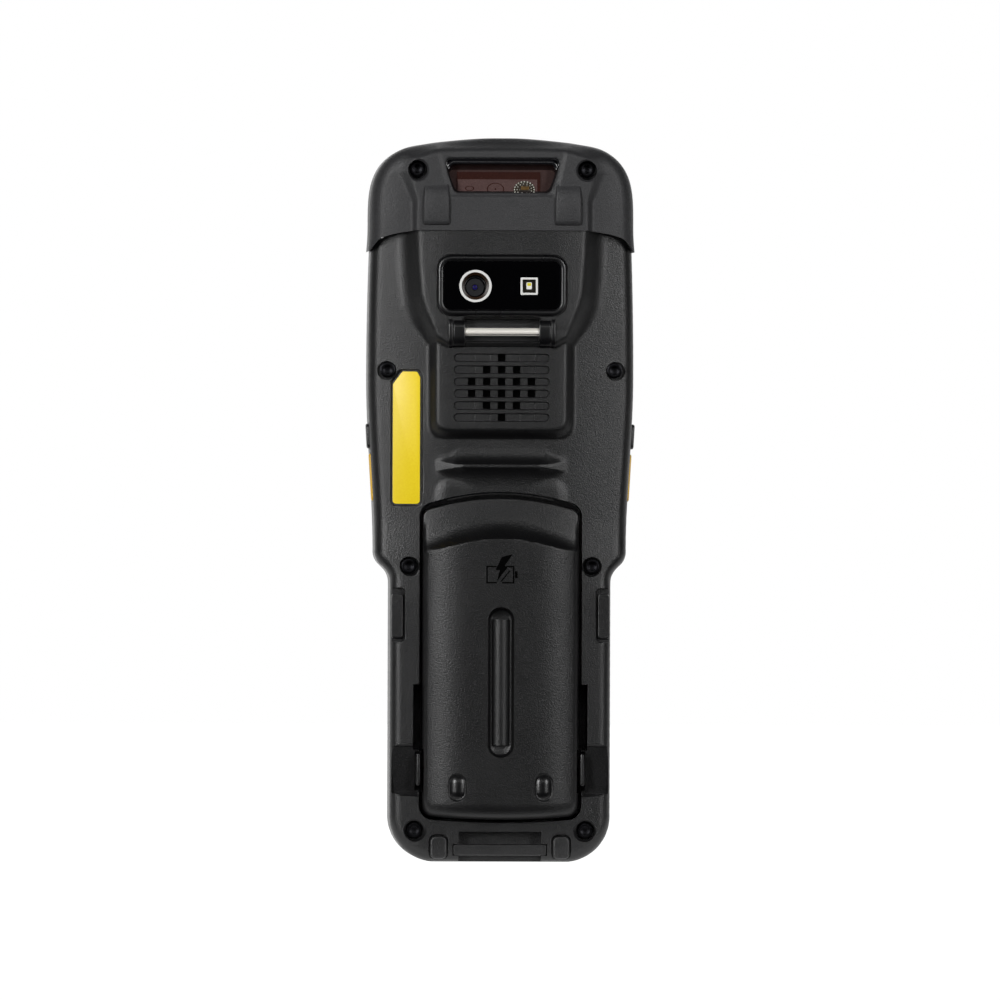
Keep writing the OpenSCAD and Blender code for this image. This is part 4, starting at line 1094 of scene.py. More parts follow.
def latchRod(side, radius, low, high):
    # on the line along which a latch slides
    return rod(radius, low, high, (0, fittings["latchY"], fittings["latchZ"]), (side, 0, 0), 24)


def batteryHollow():
    # room for the cells, less the walls round the latches, the contacts and both ends
    hollow = solid(prism(batteryOutline(-1.5), -12.4, -6.0))
    keep = [sideBox(side, 19, 30, (-20, 18), (0, 36)) for side in (-1, 1)]
    keep += [box((-9.6, -8.2, 13.4), (9.6, 0, 23.6)), box((-30, -20, 93.6), (30, 0, 120)),
             box((-30, -20, 0), (30, 0, 16))]
    return carve(hollow, keep)


batteryTools = chargeMark(-2, 0.62) + [grooveTool()]
for side in (-1, 1):
    batteryTools.append(dimplePart(side, dimple["bowl"], dimple["bowlRings"]))
for side in (-1, 1):
    batteryTools.append(sideBox(side, 22.65, 30, (-24, 20.3), (-6.0, 33.3)))
    batteryTools.append(latchRod(side, 1.3, 19.5, 30))
batteryTools += [box((-8.4, -5.7, 15.6), (8.4, -3, 22.4)), batteryHollow()]
carve(batteryCase, batteryTools)
dress(batteryCase, "battery", ["battery_case"], batteryPlastic, angle=34)
# a full, round rest stands in each bowl
rests = [(dimplePart(side, dimple["dome"], dimple["domeRings"]), 0) for side in (-1, 1)]
dress(joined("batteryRests", rests), "battery", [], fittingPlastic, angle=50)
print("battery ready:", len(batteryCase.data.polygons), "faces")


# ---- nose bumper

bumper = {"half": 39.0, "archZ": 188.0, "archHeight": 25.99, "power": 3.5, "flare": 0.45, "lowZ": 179.9,
          "backY": -15.5, "frontY": 19.0, "midY": -17.5, "edge": 4.0, "midRise": 2.0, "step": 0.6, "crown": 2.3,
          "rowCount": 66, "rimRows": 12}
bumperMidTop = mirrored([(25.4, 168.0), (25.3, 193.6), (25.1, 195.2), (27.2, 203.5), (25.6, 207.6),
                         (19.0, 210.4)])
bumperMidFoot = mirrored([(26.5, 168.0), (26.4, 193.8), (26.6, 195.4), (30.6, 204.4), (28.4, 209.4),
                          (20.0, 212.0)])
windowSurround = mirrored([(15.4, 196.6), (16.6, 199.5), (18.3, 206.8), (19.8, 214.0)])


def archSag(x):
    # the nose falls a little sooner than a plain arch would
    return 0.62 * easeStep((abs(x) - 2) / 17) * (1 - easeStep((abs(x) - 22) / 9))


def archTop(x):
    power = bumper["power"]
    t = min(1.0, abs(x) / bumper["half"])
    return bumper["archZ"] + bumper["archHeight"] * (1 - t ** power) ** (1 / power) - archSag(x)


def flared(x, z):
    # the skirt flares out a little towards its lower corners
    t = max(0.0, min(1.0, (bumper["archZ"] - z) / (bumper["archZ"] - bumper["lowZ"])))
    return x * (1 + bumper["flare"] / bumper["half"] * t * t)


def bumperFoot(x):
    return body["bumperZ"] - edgeDrop(x)


def archPoint(angle):
    # the arch is half of a rounded rectangle of the form x^p + z^p = 1
    a, power = math.radians(angle), 2 / bumper["power"]
    x = bumper["half"] * math.copysign(abs(math.sin(a)) ** power, math.sin(a))
    return x, bumper["archZ"] + bumper["archHeight"] * abs(math.cos(a)) ** power - archSag(x)


archPoints = [archPoint(-90 + 180 * i / 720) for i in range(721)]


def evenly(points, step):
    # the same line, with its points a step apart
    total, spots, want = 0.0, [points[0]], step
    for (x0, z0), (x1, z1) in zip(points, points[1:]):
        gap = math.hypot(x1 - x0, z1 - z0)
        while gap > 0 and total + gap >= want:
            t = (want - total) / gap
            spots.append((x0 + (x1 - x0) * t, z0 + (z1 - z0) * t))
            want += step
        total += gap
    return spots + [points[-1]]


archColumns = [x for x, z in evenly(archPoints, bumper["step"])]
skirtSide = []
for i in range(70):
    down = 0.12 * i
    skirtSide.append((bumper["half"] + bumper["flare"] * (down / 6.9) ** 2, bumper["archZ"] - down))
bumperTree = treeOf(evenly(archPoints, 0.12) + skirtSide + [(-x, z) for x, z in skirtSide])


def bumperRise(x, z):
    if z < 176 or abs(x) > 34:
        return 0.0
    rise = raised(x, z, bumperMidTop, bumperMidFoot, bumper["midRise"], 0.7, 0.9)
    # the panel round the scan window lies a little lower
    return rise - 0.45 * easeStep((signedDistance(x, z, windowSurround) + 0.1) / 0.7)


def bumperPlace(side):
    flat = bumper["backY"] if side < 0 else bumper["frontY"]

    def place(column, row):
        x = archColumns[column]
        low, high = bumperFoot(x), archTop(x)
        # the rows are packed closely near the arch
        rim, rows, rimRows = min(4.4, (high - low) * 0.6), bumper["rowCount"], bumper["rimRows"]
        if row > rows - rimRows:
            z = high - rim * (1 - math.cos(math.pi / 2 * (rows - row) / rimRows))
        else:
            z = low + (high - rim - low) * row / (rows - rimRows)
        x = flared(x, z)
        fall = roundFall(bumper["edge"], bumperTree.find((x, 0, z))[2])
        crown = bumper["crown"] * max(0.0, (abs(x) - 26) / 13) ** 2
        rise = bumperRise(x, z) if side < 0 else 0.0
        return Vector((x, flat - side * (fall + crown) + side * rise, z))
    return place


bumperBack = solid(field(len(archColumns) - 1, bumper["rowCount"], bumperPlace(-1), 6.0))
topBumper = meshFrom(field(len(archColumns) - 1, bumper["rowCount"], bumperPlace(1), -4.0), "topBumper")


def footBlock(side):
    # a rest foot: ramp, flat tread and a rolled lower end, drawn in Y and Z and widened along X
    line = [(-14.6, 200.8), (-16.9, 200.6), (-17.9, 199.4), (-18.5, 196.9), (-18.62, 194.4), (-18.62, 189.6),
            (-18.4, 188.7), (-17.7, 188.2), (-14.6, 188.2)]
    middle, width, rampZ, rampShare = side * 19.5, 7.7, 195, 0.95
    bm = thickened([(middle - width / 2, y, z) for y, z in line], (width, 0, 0))
    for v in bm.verts:
        # the ramp is a little narrower than the tread
        if v.co.z > rampZ:
            v.co.x = middle + (v.co.x - middle) * rampShare
    easeRims(bm, 0.9, 0.55, 3)
    return bm


def bumperTools():
    tools = []
    for side in (-1, 1):
        x, z = screws["bumperPlace"]
        tools.append(bore(side * x, z - 0.35, screws["bore"] + 0.05, bumper["midY"] + 0.1, screws["bumperSeatY"]))
        tools.append(boreStraight(side * x, z, screws["thread"], -13, -7))
    # the window's seat, the way through behind it, and the earpiece slot on the front
    tools += [recess(lambda grow: windowOutline(0.06 + grow), -16.9, -13.15, 0.15),
              prism(windowOutline(-0.5), -14.4, -11.0), prism(roundRect(0, 202, 14, 1.6, 0.79), 15, 24)]
    # the inside follows the outside, a wall's width in
    inside = 0.938
    foot = [(x * inside, bumperFoot(x) - 3) for x in range(-39, 40, 3)]
    arch = [(x * inside, archTop(x) - 2.4) for x, z in evenly(archPoints, 1.5)[::-1] if abs(x) < 38.9]
    hollow = solid(prism(foot + arch, -12.0, 15.5))
    x, z = screws["bumperPlace"]
    carve(hollow, [boreStraight(side * x, z, 3.7, -14, -9.2) for side in (-1, 1)])
    return tools + [hollow]


def windowOutline(grow):
    # the scan window: narrow below, with rounded corners
    return roundedPair([(14.2 + grow, 197.8 - grow, 2.0), (15.9 + grow, 202.6, 2.5),
                        (16.8 + grow, 206.4, 1.4), (16.4 + grow, 208.0 + grow, 1.3)])


carve(topBumper, [bumperBack] + [footBlock(side) for side in (-1, 1)], "UNION")
carve(topBumper, bumperTools())
dress(topBumper, "housing", ["top_bumper"], bumperRubber, angle=42)
print("bumper ready:", len(topBumper.data.polygons), "faces")


# ---- scan window and what shows behind it

scan = {"paneY": (-14.4, -13.25), "faceY": -12.75, "top": 208.4, "half": 11.0, "backY": -0.5}
# dyed filter window: dark red, clear enough to show the engine's face
windowTint = clearPane("redWindowPolycarbonate", "#1c0a09", 1.58, 4, 0.02, 0.35)
scanPane = meshFrom(prism(windowOutline(0), *scan["paneY"]), "scanWindow")
dress(scanPane, "housing", ["scan_window"], windowTint, bevel=0.12)


def bentRod(half, high, low, y, radius, corner=1.5):
    # a round rod along X whose ends turn down in a bend
    right = [(half, low)] + arc(half - corner, high - corner, corner, 0, 90, 6)
    data = bpy.data.curves.new("bentRod", "CURVE")
    data.dimensions = "3D"
    data.bevel_depth = radius
    data.bevel_resolution = 4
    data.use_fill_caps = True
    line = data.splines.new("POLY")
    line.points.add(2 * len(right) - 1)
    for point, (x, z) in zip(line.points, right + [(-x, z) for x, z in reversed(right)]):
        point.co = (x, y, z, 1)
    bm = curveSurface(data)
    bmesh.ops.remove_doubles(bm, verts=bm.verts, dist=1e-4)
    bmesh.ops.recalc_face_normals(bm, faces=bm.faces)
    return bm


# two polished bends frame the window's upper edge
lip = [(bentRod(16.7, 207.85, 205.8, -15.75, 0.42), 0), (bentRod(16.1, 206.85, 204.8, -15.5, 0.68, 1.9), 0)]
dress(joined("scanWindowLip", lip), "housing", [], lipGloss, angle=50)

faceY = scan["faceY"]
panelOutline = roundedPair([(14.6, 197.7, 1.0), (15.6, 202.4, 2.5), (15.9, 204.6, 1.3)])
# the numbers after the shapes are places in the list of materials below
# the first part, a dark red sheet behind the panel, shows as a band over its top: painted shadow under the
# window's lip
engineParts = [(prism(windowOutline(-0.3), faceY + 0.5, faceY + 0.9), 5),
               (prism(panelOutline, faceY + 0.2, faceY + 0.6), 0),
               (box((-scan["half"], faceY + 0.8, 196.0), (scan["half"], scan["backY"], scan["top"])), 0),
               (box((-13.4, faceY - 0.05, 197.7), (11.3, faceY + 0.3, 204.0)), 1),
               (box((-13.2, faceY - 0.2, 197.7), (10.4, faceY + 0.1, 201.8)), 2)]


def leaned(bm, z, share):
    # the engine looks up a little, so its round parts read as ovals
    for v in bm.verts:
        v.co.z = z + (v.co.z - z) * share
    return bm


for x, z, radius, share in ((-9.6, 199.1, 1.35, 0.56), (-1.96, 198.9, 2.55, 0.74)):
    hole = radius - 0.3
    rim = [(hole, faceY - 0.1), (hole, faceY - 0.3), (radius, faceY - 0.3), (radius, faceY - 0.1)]
    engineParts.append((leaned(turned(rim, (x, 0, z), steps=36), z, share), 1))
engineParts.append((lathe([(0, faceY - 0.3), (0.2, faceY - 0.3), (0.26, faceY - 0.2), (0, faceY - 0.2)],
                          (-1.96, 0, 198.9), (0, 1, 0), 20), 1))
lensX, lensZ, lensShare = 6.6, 198.8, 0.79
engineParts.append((box((5.6, faceY - 0.5, 198.75), (8.0, faceY - 0.2, 199.75)), 3))
lensDisc = rod(3.2, faceY - 0.24, faceY, (lensX, 0, lensZ), (0, 1, 0), 32)
engineParts.append((leaned(lensDisc, lensZ, lensShare), 6))
for ring, count, radius in ((2.92, 20, 0.33), (2.15, 13, 0.27), (1.4, 6, 0.22)):
    for i in range(count):
        a = math.tau * (i + 0.5 * (count % 2)) / count
        bead = bmesh.new()
        bmesh.ops.create_icosphere(bead, subdivisions=1, radius=radius)
        place = (lensX + ring * math.cos(a), faceY - 0.3, lensZ + ring * lensShare * math.sin(a))
        bmesh.ops.translate(bead, vec=place, verts=bead.verts)
        engineParts.append((bead, 4))
enginePanel = mouldedPlastic("brownEnginePanel", "#6b5552", "#785f5b", 0.8, 0.01, 0.4, 0.5)
engineFrame = mouldedPlastic("redBrownEngineFrame", "#54281d", "#602e22", 0.8, 0.01, 0.4, 0.5)
engineInner = mouldedPlastic("pinkEngineFace", "#967672", "#a2817d", 0.8, 0.01, 0.4, 0.5)
# painted shade: dark red for the shadow band under the window's lip, and for the dark line on the strap bar
paintedShadeRed = mouldedPlastic("darkRedPaintedShade", "#190b0a", "#1e0e0c", 0.8, 0.01, 0.4, 0.5)
beadGlass = glossPlastic("clearLensBeads", "#e4e4d6", 0.2)
lensBase = mouldedPlastic("oliveLensBase", "#5c564a", "#6a6456", 0.8, 0.01, 0.4, 0.5)
lensGold = mouldedPlastic("paleGoldReflector", "#8a6a3c", "#b08c50", 0.5, 0.02, 0.3, 0.4)
dress(joined("scanEngine", engineParts), "housing", ["scan_engine"],
      [enginePanel, engineFrame, engineInner, lensGold, beadGlass, paintedShadeRed, lensBase], angle=30)


# ---- camera, lamp and their window

f = fittings
windowRect = growable(0, f["windowZ"], f["windowWidth"], f["windowHeight"], f["windowCorner"], 8)
# the bezel's section: (how far outside the window, y)
bezelProfile = [(2.0, -16.42), (2.0, -17.05), (1.9, -17.35), (1.66, -17.6), (1.3, -17.76), (0.85, -17.8),
                (0.45, -17.72), (0.2, -17.55), (0.1, -17.3), (0.08, -16.42)]
bezel = meshFrom(stack([(y, windowRect(grow)) for grow, y in bezelProfile], loop=True), "cameraBezel")
dress(bezel, "housing", ["camera_bezel"], fittingPlastic, angle=50)

windowRings = [(-17.28, windowRect(-0.12)), (-17.2, windowRect(0)), (-16.6, windowRect(0))]
windowPlate = meshFrom(stack(windowRings), "cameraWindow")
carve(windowPlate, [boreStraight(f["cameraX"], f["lensZ"], 4.86, -20, -14),
                    prism(roundRect(f["flashX"], f["flashZ"], 5.18, 5.18, 0.12), -20, -14)])
dress(windowPlate, "housing", ["camera_window"], windowBlack, angle=20)

lensBlack = glossPlastic("blackLensBarrel", "#060607", 0.12)
lensGrey = glossPlastic("greyLensStop", "#17171a", 0.3)
lensAmber = glossPlastic("amberLensRim", "#2a190c", 0.3, level=0.35)
lensViolet = glossPlastic("violetCoatedLens", "#120a58", 0.3, level=0.1)
centre = (f["cameraX"], 0, f["lensZ"])
glass = (f["cameraX"] - 0.12, 0, f["lensZ"] - 0.38)
# rings of the camera, outermost first, each as (radius, y) points
printedRing = [(4.05, -17.24), (4.1, -17.3), (4.76, -17.3), (4.82, -17.22), (4.84, -16.2), (4.05, -16.2)]
steppedRim = [(4.03, -16.9), (3.92, -16.86), (3.9, -16.7), (3.74, -16.64), (3.72, -16.5), (3.56, -16.44),
              (3.54, -16.3), (3.3, -16.2), (3.3, -15.5), (4.03, -15.5)]
barrel = [(3.28, -16.1), (3.1, -16.18), (2.9, -16.0), (2.6, -15.8), (2.6, -15.4), (3.6, -15.4)]
innerRing = [(0.8, -15.85), (0.95, -15.85), (0.95, -15.6), (0.8, -15.6)]
coatedRing = [(0.24, -15.8), (0.3, -15.9), (0.5, -15.86), (0.7, -15.76), (0.24, -15.76)]
cameraParts = [(turned(printedRing, centre, steps=64), 0), (turned(steppedRim, centre, steps=64), 1),
               (turned(barrel, glass, steps=64), 2), (rod(2.6, -15.75, -15.3, glass, (0, 1, 0), 48), 3),
               (turned(innerRing, glass, steps=40), 2), (turned(coatedRing, glass, steps=32), 4)]
dress(joined("cameraModule", cameraParts), "housing", ["camera_module"],
      [ringWhite, lensAmber, lensBlack, lensGrey, lensViolet], angle=40, weighted=True)

flashCup = glossPlastic("darkFlashCup", "#1b170e", 0.35, level=0.3)
phosphor = mouldedPlastic("yellowPhosphor", "#d8cc10", "#efe22a", 0.3, 0.01, 0.4, 0.5)
ledBody = glossPlastic("whiteLedPackage", "#f4f4ee", 0.25)


def flashStack(rings, loop=False):
    # rings: (y, width, height, corner, how far above the lamp's middle)
    return stack([(y, roundRect(f["flashX"], f["flashZ"] + up, width, height, corner))
                  for y, width, height, corner, up in rings], loop)


frameRings = [(-16.3, 5.14, 0.3), (-17.26, 5.14, 0.3), (-17.3, 5.06, 0.3), (-17.3, 4.0, 0.2),
              (-17.25, 3.9, 0.2), (-16.3, 3.9, 0.2)]
cupRings = [(-17.1, 3.88, 0.12), (-16.4, 3.0, 0.12), (-16.2, 3.0, 0.12), (-16.2, 3.88, 0.12)]
frameRings, cupRings = ([(y, size, size, corner, 0) for y, size, corner in r] for r in (frameRings, cupRings))
chipRings = [(-16.34, 1.65, 2.05, 0.3, 0.08), (-16.9, 1.65, 2.05, 0.3, 0.08), (-17.0, 1.45, 1.85, 0.2, 0.08)]
phosphorRings = [(-16.98, 1.15, 0.9, 0.2, 0.52), (-17.06, 1.05, 0.8, 0.15, 0.52)]
cupFloor = box((f["flashX"] - 1.9, -16.35, f["flashZ"] - 1.9), (f["flashX"] + 1.9, -16.1, f["flashZ"] + 1.9))
flashParts = [(flashStack(frameRings, True), 0), (flashStack(cupRings, True), 1), (cupFloor, 1),
              (flashStack(chipRings), 2), (flashStack(phosphorRings), 3)]
dress(joined("flashLamp", flashParts), "housing", ["flash_led"],
      [ringWhite, flashCup, ledBody, phosphor], angle=30, weighted=True)
print("windows and camera ready")


# ---- strap bar and its lugs

strapBar = lathe([(0, -13.75), (1.05, -13.75), (1.22, -13.55), (1.22, 13.55), (1.05, 13.75), (0, 13.75)],
                 (0, f["strapY"], f["strapZ"]), (1, 0, 0), 48)
# a dark line painted along the bar's lower front: painted reflection, standing for the dark line that the
# polished rod reflects
paintedReflectionLine = box((-13.6, f["strapY"] - 1.1, f["strapZ"] - 0.74), (13.6, f["strapY"] - 0.6, f["strapZ"] - 0.54))
dress(joined("strapBar", [(strapBar, 0), (paintedReflectionLine, 1)]), "housing", ["strap_bar"],
      [paintedBrightSteel, paintedShadeRed], angle=40)
# each lug is a block, a thinner cheek outside it and a web between the two; the lines are in Y and Z
lugLine = [(-12.8, 160.3), (-16.4, 160.3), (-17.3, 159.9), (-17.9, 159.1), (-18.1, 158.0), (-18.1, 155.4),
           (-17.9, 153.9), (-17.2, 152.7), (-16.0, 152.1), (-12.8, 152.1)]
cheekLine = [(-12.8, 160.5), (-16.8, 160.5), (-17.6, 159.6), (-17.8, 158.0), (-17.8, 154.6), (-17.3, 152.9),
             (-16.0, 151.9), (-12.8, 151.9)]
lugs = []
for side in (-1, 1):
    lugs.append((sides(lugLine, *sorted((side * 11.0, side * 14.35))), 0))
    lugs.append((sides(cheekLine, *sorted((side * 14.6, side * 15.75))), 0))
    lugs.append((sideBox(side, 14.2, 14.8, (-17.2, 152.6), (-12.8, 159.9)), 0))
dress(joined("strapLugs", lugs), "housing", [], fittingPlastic, angle=40, weighted=True)


# ---- speaker cloth, label, inserts, pads and the lower bar

# fine acoustic mesh behind the holes: almost black; the same dead black is also painted shade in the sunk charge
# mark and on the latch stems
clothBlackAndPaintedShade = checkered("wovenSpeakerClothAndPaintedShade", "#020202", "#050505", 0.3, 0.9, 0.03)
refinish("speaker_mesh", clothBlackAndPaintedShade)
refinish("speaker", clothBlackAndPaintedShade)

# a near-black fill in the floor of the sunk mark: painted shade that darkens its grooves
markParts = [(bm, 0) for bm in chargeMark(0.3, 0.6)]
dress(joined("chargeMark", markParts), "battery", [], clothBlackAndPaintedShade, angle=40)

label = onCrown(stack([(0.42, labelShape(0)), (0.2, labelShape(0)), (0.16, labelShape(-0.08))]))
dress(meshFrom(label, "blankLabel"), "housing", ["blank_label"], labelFilm, angle=40)


def domed(outline, rings):
    # rings: (y, grow), from the root of a fitting to its top
    return stack([(y, outline(grow)) for y, grow in rings])


insertRings = [(-10.95, 0), (-11.75, 0), (-12.05, -0.12), (-12.18, -0.4)]
trims = [(domed(growable(side * 30.6, 72.6, 3.5, 13.2, 0.9), insertRings), 0) for side in (-1, 1)]
dress(joined("sideInserts", trims), "housing", ["side_inserts"], casePlastic, angle=40,
      weighted=True)

padRings = [(-12.05, 0), (-13.2, 0), (-13.55, -0.14), (-13.72, -0.4), (-13.78, -0.8)]
pads = [(domed(growable(side * 18.15, 4.3, 5.1, 6.8, 1.7, 6), padRings), 0) for side in (-1, 1)]
dress(joined("basePads", pads), "housing", ["base_pads"], casePlastic, angle=50,
      weighted=True)

# where a slot's square spot isn't a hole, a bead marks its right-hand edge
beads = []
for row, z in enumerate(speakerRows):
    for k in range(-2, 3):
        if not isHole(row, k):
            place = (k * f["holePitch"] + f["slotHeight"] / 2, f["speakerY"] + 0.86, 0)
            beads.append((rod(0.17, z - 0.85, z + 0.85, place, (0, 0, 1), 16), 0))
dress(joined("speakerBeads", beads), "housing", [], fittingPlastic, angle=40)

lowerBar = domed(growable(0, 3.55, 27.6, 3.3, 0.7), [(-11.1, 0), (-12.7, 0), (-12.9, -0.1), (-13.0, -0.3)])
dress(meshFrom(lowerBar, "lowerBar"), "housing", ["lower_bar"], casePlastic, angle=50,
      weighted=True)

screwParts = []
for side in (-1, 1):
    screwParts += [(screwHead(side * x, z, screws["seatY"]), 0) for x, z in screws["places"]]
    x, z = screws["bumperPlace"]
    screwParts.append((screwHead(side * x, z, screws["bumperSeatY"]), 0))
dress(joined("housingScrews", screwParts), "housing", ["housing_screws"], screwSteel, angle=40)


# ---- battery latches

leverRings = [(-8.45, 0), (-13.7, 0), (-13.95, -0.06), (-14.13, -0.18), (-14.26, -0.34), (-14.34, -0.54),
              (-14.36, -0.68)]
for side, end in ((-1, "left"), (1, "right")):
    blade = domed(growable(side * f["latchX"], 27.3, 1.5, 9.8, 0.7), leverRings)
    # the stem in the slot is dead black: painted shade, so the slot reads as a deep dark opening
    latch = joined("latch" + end.title(), [(blade, 0), (latchRod(side, 1.1, 20.5, 23.2), 1)])
    dress(latch, "latch_" + end, ["latch_" + end], [fittingPlastic, clothBlackAndPaintedShade], angle=50)
print("fittings ready")


# ---- side keys and triggers

def sideControl(side, z, length, proud):
    # a rounded cap that follows the side wall, with a flange inside
    section = growable(sideControls["y"], 0, sideControls["depth"], length, 1.3, 6)
    bm = bmesh.new()
    loops = []
    for lift, grow in ((-3.4, 0.5), (-2.5, 0.5), (-2.5, 0.0), (proud - 0.5, 0.0), (proud - 0.18, -0.12),
                       (proud - 0.02, -0.45), (proud, -1.0)):
        ring = [(side * (halfWidth(z + dz) + lift), y, z + dz) for y, dz in section(grow)]
        verts = [bm.verts.new(co) for co in ring]
        loops.append([bm.edges.new(pair) for pair in zip(verts, verts[1:] + verts[:1])])
    for a, b in zip(loops, loops[1:]):
        bmesh.ops.bridge_loops(bm, edges=a + b)
    for ends in (loops[0], loops[-1]):
        bmesh.ops.contextual_create(bm, geom=ends)
    bmesh.ops.recalc_face_normals(bm, faces=bm.faces)
    return bm


for side, end in ((-1, "left"), (1, "right")):
    keyCap = meshFrom(sideControl(side, *sideControls["key"]), "sideKey" + end.title())
    dress(keyCap, "side_key_" + end, ["side_key_" + end], casePlastic, angle=40)
    triggerCap = meshFrom(sideControl(side, *sideControls["trigger"]), "sideTrigger" + end.title())
    dress(triggerCap, "side_trigger_" + end, ["side_trigger_" + end], triggerYellow, angle=40)


# ---- front cover

front = {"glassX": 34.3, "glassZ": (95.2, 180.5), "glassCorner": 3.9, "glassY": (15.4, 16.5), "lcdX": 29.3,
         "lcdZ": (101.2, 175.5), "innerY": 14.5, "keyTopY": 18.3, "keyGap": 0.25, "padZ": (14.2, 86.8),
         "padHalf": 29.6, "padDepth": 0.45, "dockX": 11.0, "dockY": (4.5, 10.5), "outY": 24.0}


def frontCrown(x, z):
    # both side edges fall away softly, sooner on the narrower grip
    return 0.07 * max(0.0, abs(x) - 34.8) ** 2 + (0.09 * max(0.0, abs(x) - 29.8) ** 2 if z < 86 else 0.0)


def centred(xHalf, zEnds, corner, least=0.05):
    # a rounded rectangle on the middle line, as an outline that can be grown
    low, high = zEnds
    return lambda grow: roundRect(0, (low + high) / 2, 2 * (xHalf + grow), high - low + 2 * grow,
                                  max(least, corner + grow), 10)


glassShape = centred(front["glassX"], front["glassZ"], front["glassCorner"])
lcdShape = centred(front["lcdX"], front["lcdZ"], 0.6)
padShape = centred(front["padHalf"], front["padZ"], 5.0)
rows = [("1", "2", "3"), ("4", "5", "6"), ("7", "8", "9"), ("*", "0", "#")]
keyNames = {"*": "key_star", "#": "key_hash"}
# keys: (x, z, width, height, corner)
frontKeys = {"key_scan": (0, 79.0, 21, 9, 3.5), "key_soft_left": (19.6, 79.0, 12, 6.4, 2),
             "key_nav": (0, 66.2, 25, 12.4, 6), "key_soft_right": (-19.6, 79.0, 12, 6.4, 2),
             "key_back": (21.4, 66.2, 11.6, 8, 2.5), "key_enter": (-21.4, 66.2, 11.6, 8, 2.5),
             "key_power": (0, 10.4, 9, 5, 2.4)}
keyFigures = {}
for r, figures in enumerate(rows):
    for c, figure in enumerate(figures):
        name = keyNames.get(figure, "key_" + figure)
        # figure 1 is at the upper left as seen from the front, which is towards +X
        frontKeys[name] = (18.5 * (1 - c), 51.8 - 10.4 * r, 14.5, 7.4, 2.2)
        keyFigures[name] = figure


def keyShape(key, grow):
    x, z, width, height, corner = key
    return roundRect(x, z, width + 2 * grow, height + 2 * grow, max(0.2, corner + grow), 6)


def frontTools():
    inner, face, out = front["innerY"], body["frontY"], front["outY"]
    padFloor, (dockLow, dockHigh), dockX = face - front["padDepth"], front["dockY"], front["dockX"] + 0.1
    tools = [domed(glassShape, [(15.2, 0.1), (face - 0.25, 0.1), (face, 0.35), (out, 0.35)]),
             prism(lcdShape(0.15), inner - 3, out),
             domed(padShape, [(padFloor, -0.45), (padFloor + 0.1, -0.2), (face - 0.06, 0), (out, 0.3)]),
             box((-dockX, dockLow - 0.1, -5), (dockX, dockHigh + 0.1, 4))]
    for key in frontKeys.values():
        tools.append(prism(keyShape(key, front["keyGap"]), inner - 3, out))
    tools.append(aboveBumperEdge(6.8))
    # the inside, less the pillars that the screws hold
    hollow = solid(prism(insetCover(body["wall"], body["wall"], 200), body["seamY"] - 3, inner))
    pillars = [boreStraight(side * x, z, 3.0, 0, 20) for side in (-1, 1) for x, z in screws["places"]]
    return tools + [carve(hollow, pillars)]


frontCover = coverSurface(1, lambda x, z: 0.0, frontCrown, "frontCover")
carve(frontCover, frontTools())
dress(frontCover, "housing", ["front_cover"], casePlastic, weighted=True)
print("front cover carved:", len(frontCover.data.polygons), "faces")


# ---- display

glassLow, glassHigh = front["glassY"]
printBlack = mouldedPlastic("blackGlassPrint", "#050506", "#070708", 0.6, 0.0005, 0.3, 0.4)
# hardened cover glass: mostly clear over the display
clearGlass = clearPane("clearDisplayGlass", "#050607", 1.5, 14, 0.015, 0.4)
paneRings = [(glassLow + 0.05, 0), (glassHigh - 0.28, 0), (glassHigh - 0.08, -0.1), (glassHigh, -0.32)]
pane = domed(glassShape, paneRings)
# the black print under the glass leaves the display's window open
printTop = glassLow + 0.04
printed = stack([(glassLow, glassShape(-0.1)), (printTop, glassShape(-0.1)), (printTop, lcdShape(-0.4)),
                 (glassLow, lcdShape(-0.4))], loop=True)
dress(joined("displayGlass", [(pane, 0), (printed, 1)]), "housing", ["display_glass"],
      [clearGlass, printBlack], angle=20, weighted=True)

# a switched-off panel: blue-grey with the faint raster of its cells
refinish("lcd_module", checkered("darkDisplayPanel", "#14181d", "#181d23", 0.24, 0.22))


# ---- front keys and their figures

legendWhite = mouldedPlastic("whiteKeyFigure", "#d9dadb", "#e6e7e8", 0.3, 0.005, 0.45, 0.55)
powerRed = mouldedPlastic("redPowerKey", "#7e1512", "#8f1b16", 0.4, 0.015, 0.42, 0.5)
# half the thickness of a printed figure
printHalf = 0.03


def figureMesh(text, size):
    # a number from the built-in font, as a thin raised print facing the front
    curve = bpy.data.curves.new("figure", "FONT")
    curve.body = text
    curve.size = size
    curve.align_x, curve.align_y = "CENTER", "CENTER"
    curve.extrude = printHalf
    return curveSurface(curve)


def onKey(bm, x, z):
    # turn a flat mark to face the front and put it on a key's top
    for v in bm.verts:
        v.co = Vector((x - v.co.x, front["keyTopY"] + v.co.z, z + v.co.y))
    bmesh.ops.recalc_face_normals(bm, faces=bm.faces)
    return bm


def flatMark(points, right=0, up=0):
    return thickened([(a + right, b + up, -printHalf) for a, b in points], (0, 0, 2 * printHalf))


def barMark(x0, z0, x1, z1):
    return flatMark([(x0, z0), (x1, z0), (x1, z1), (x0, z1)])


def ringMark(outer, inner):
    section = [(inner, -printHalf), (outer, -printHalf), (outer, printHalf), (inner, printHalf)]
    return turned(section, (0, 0, 0), (0, 0, 1), 40)


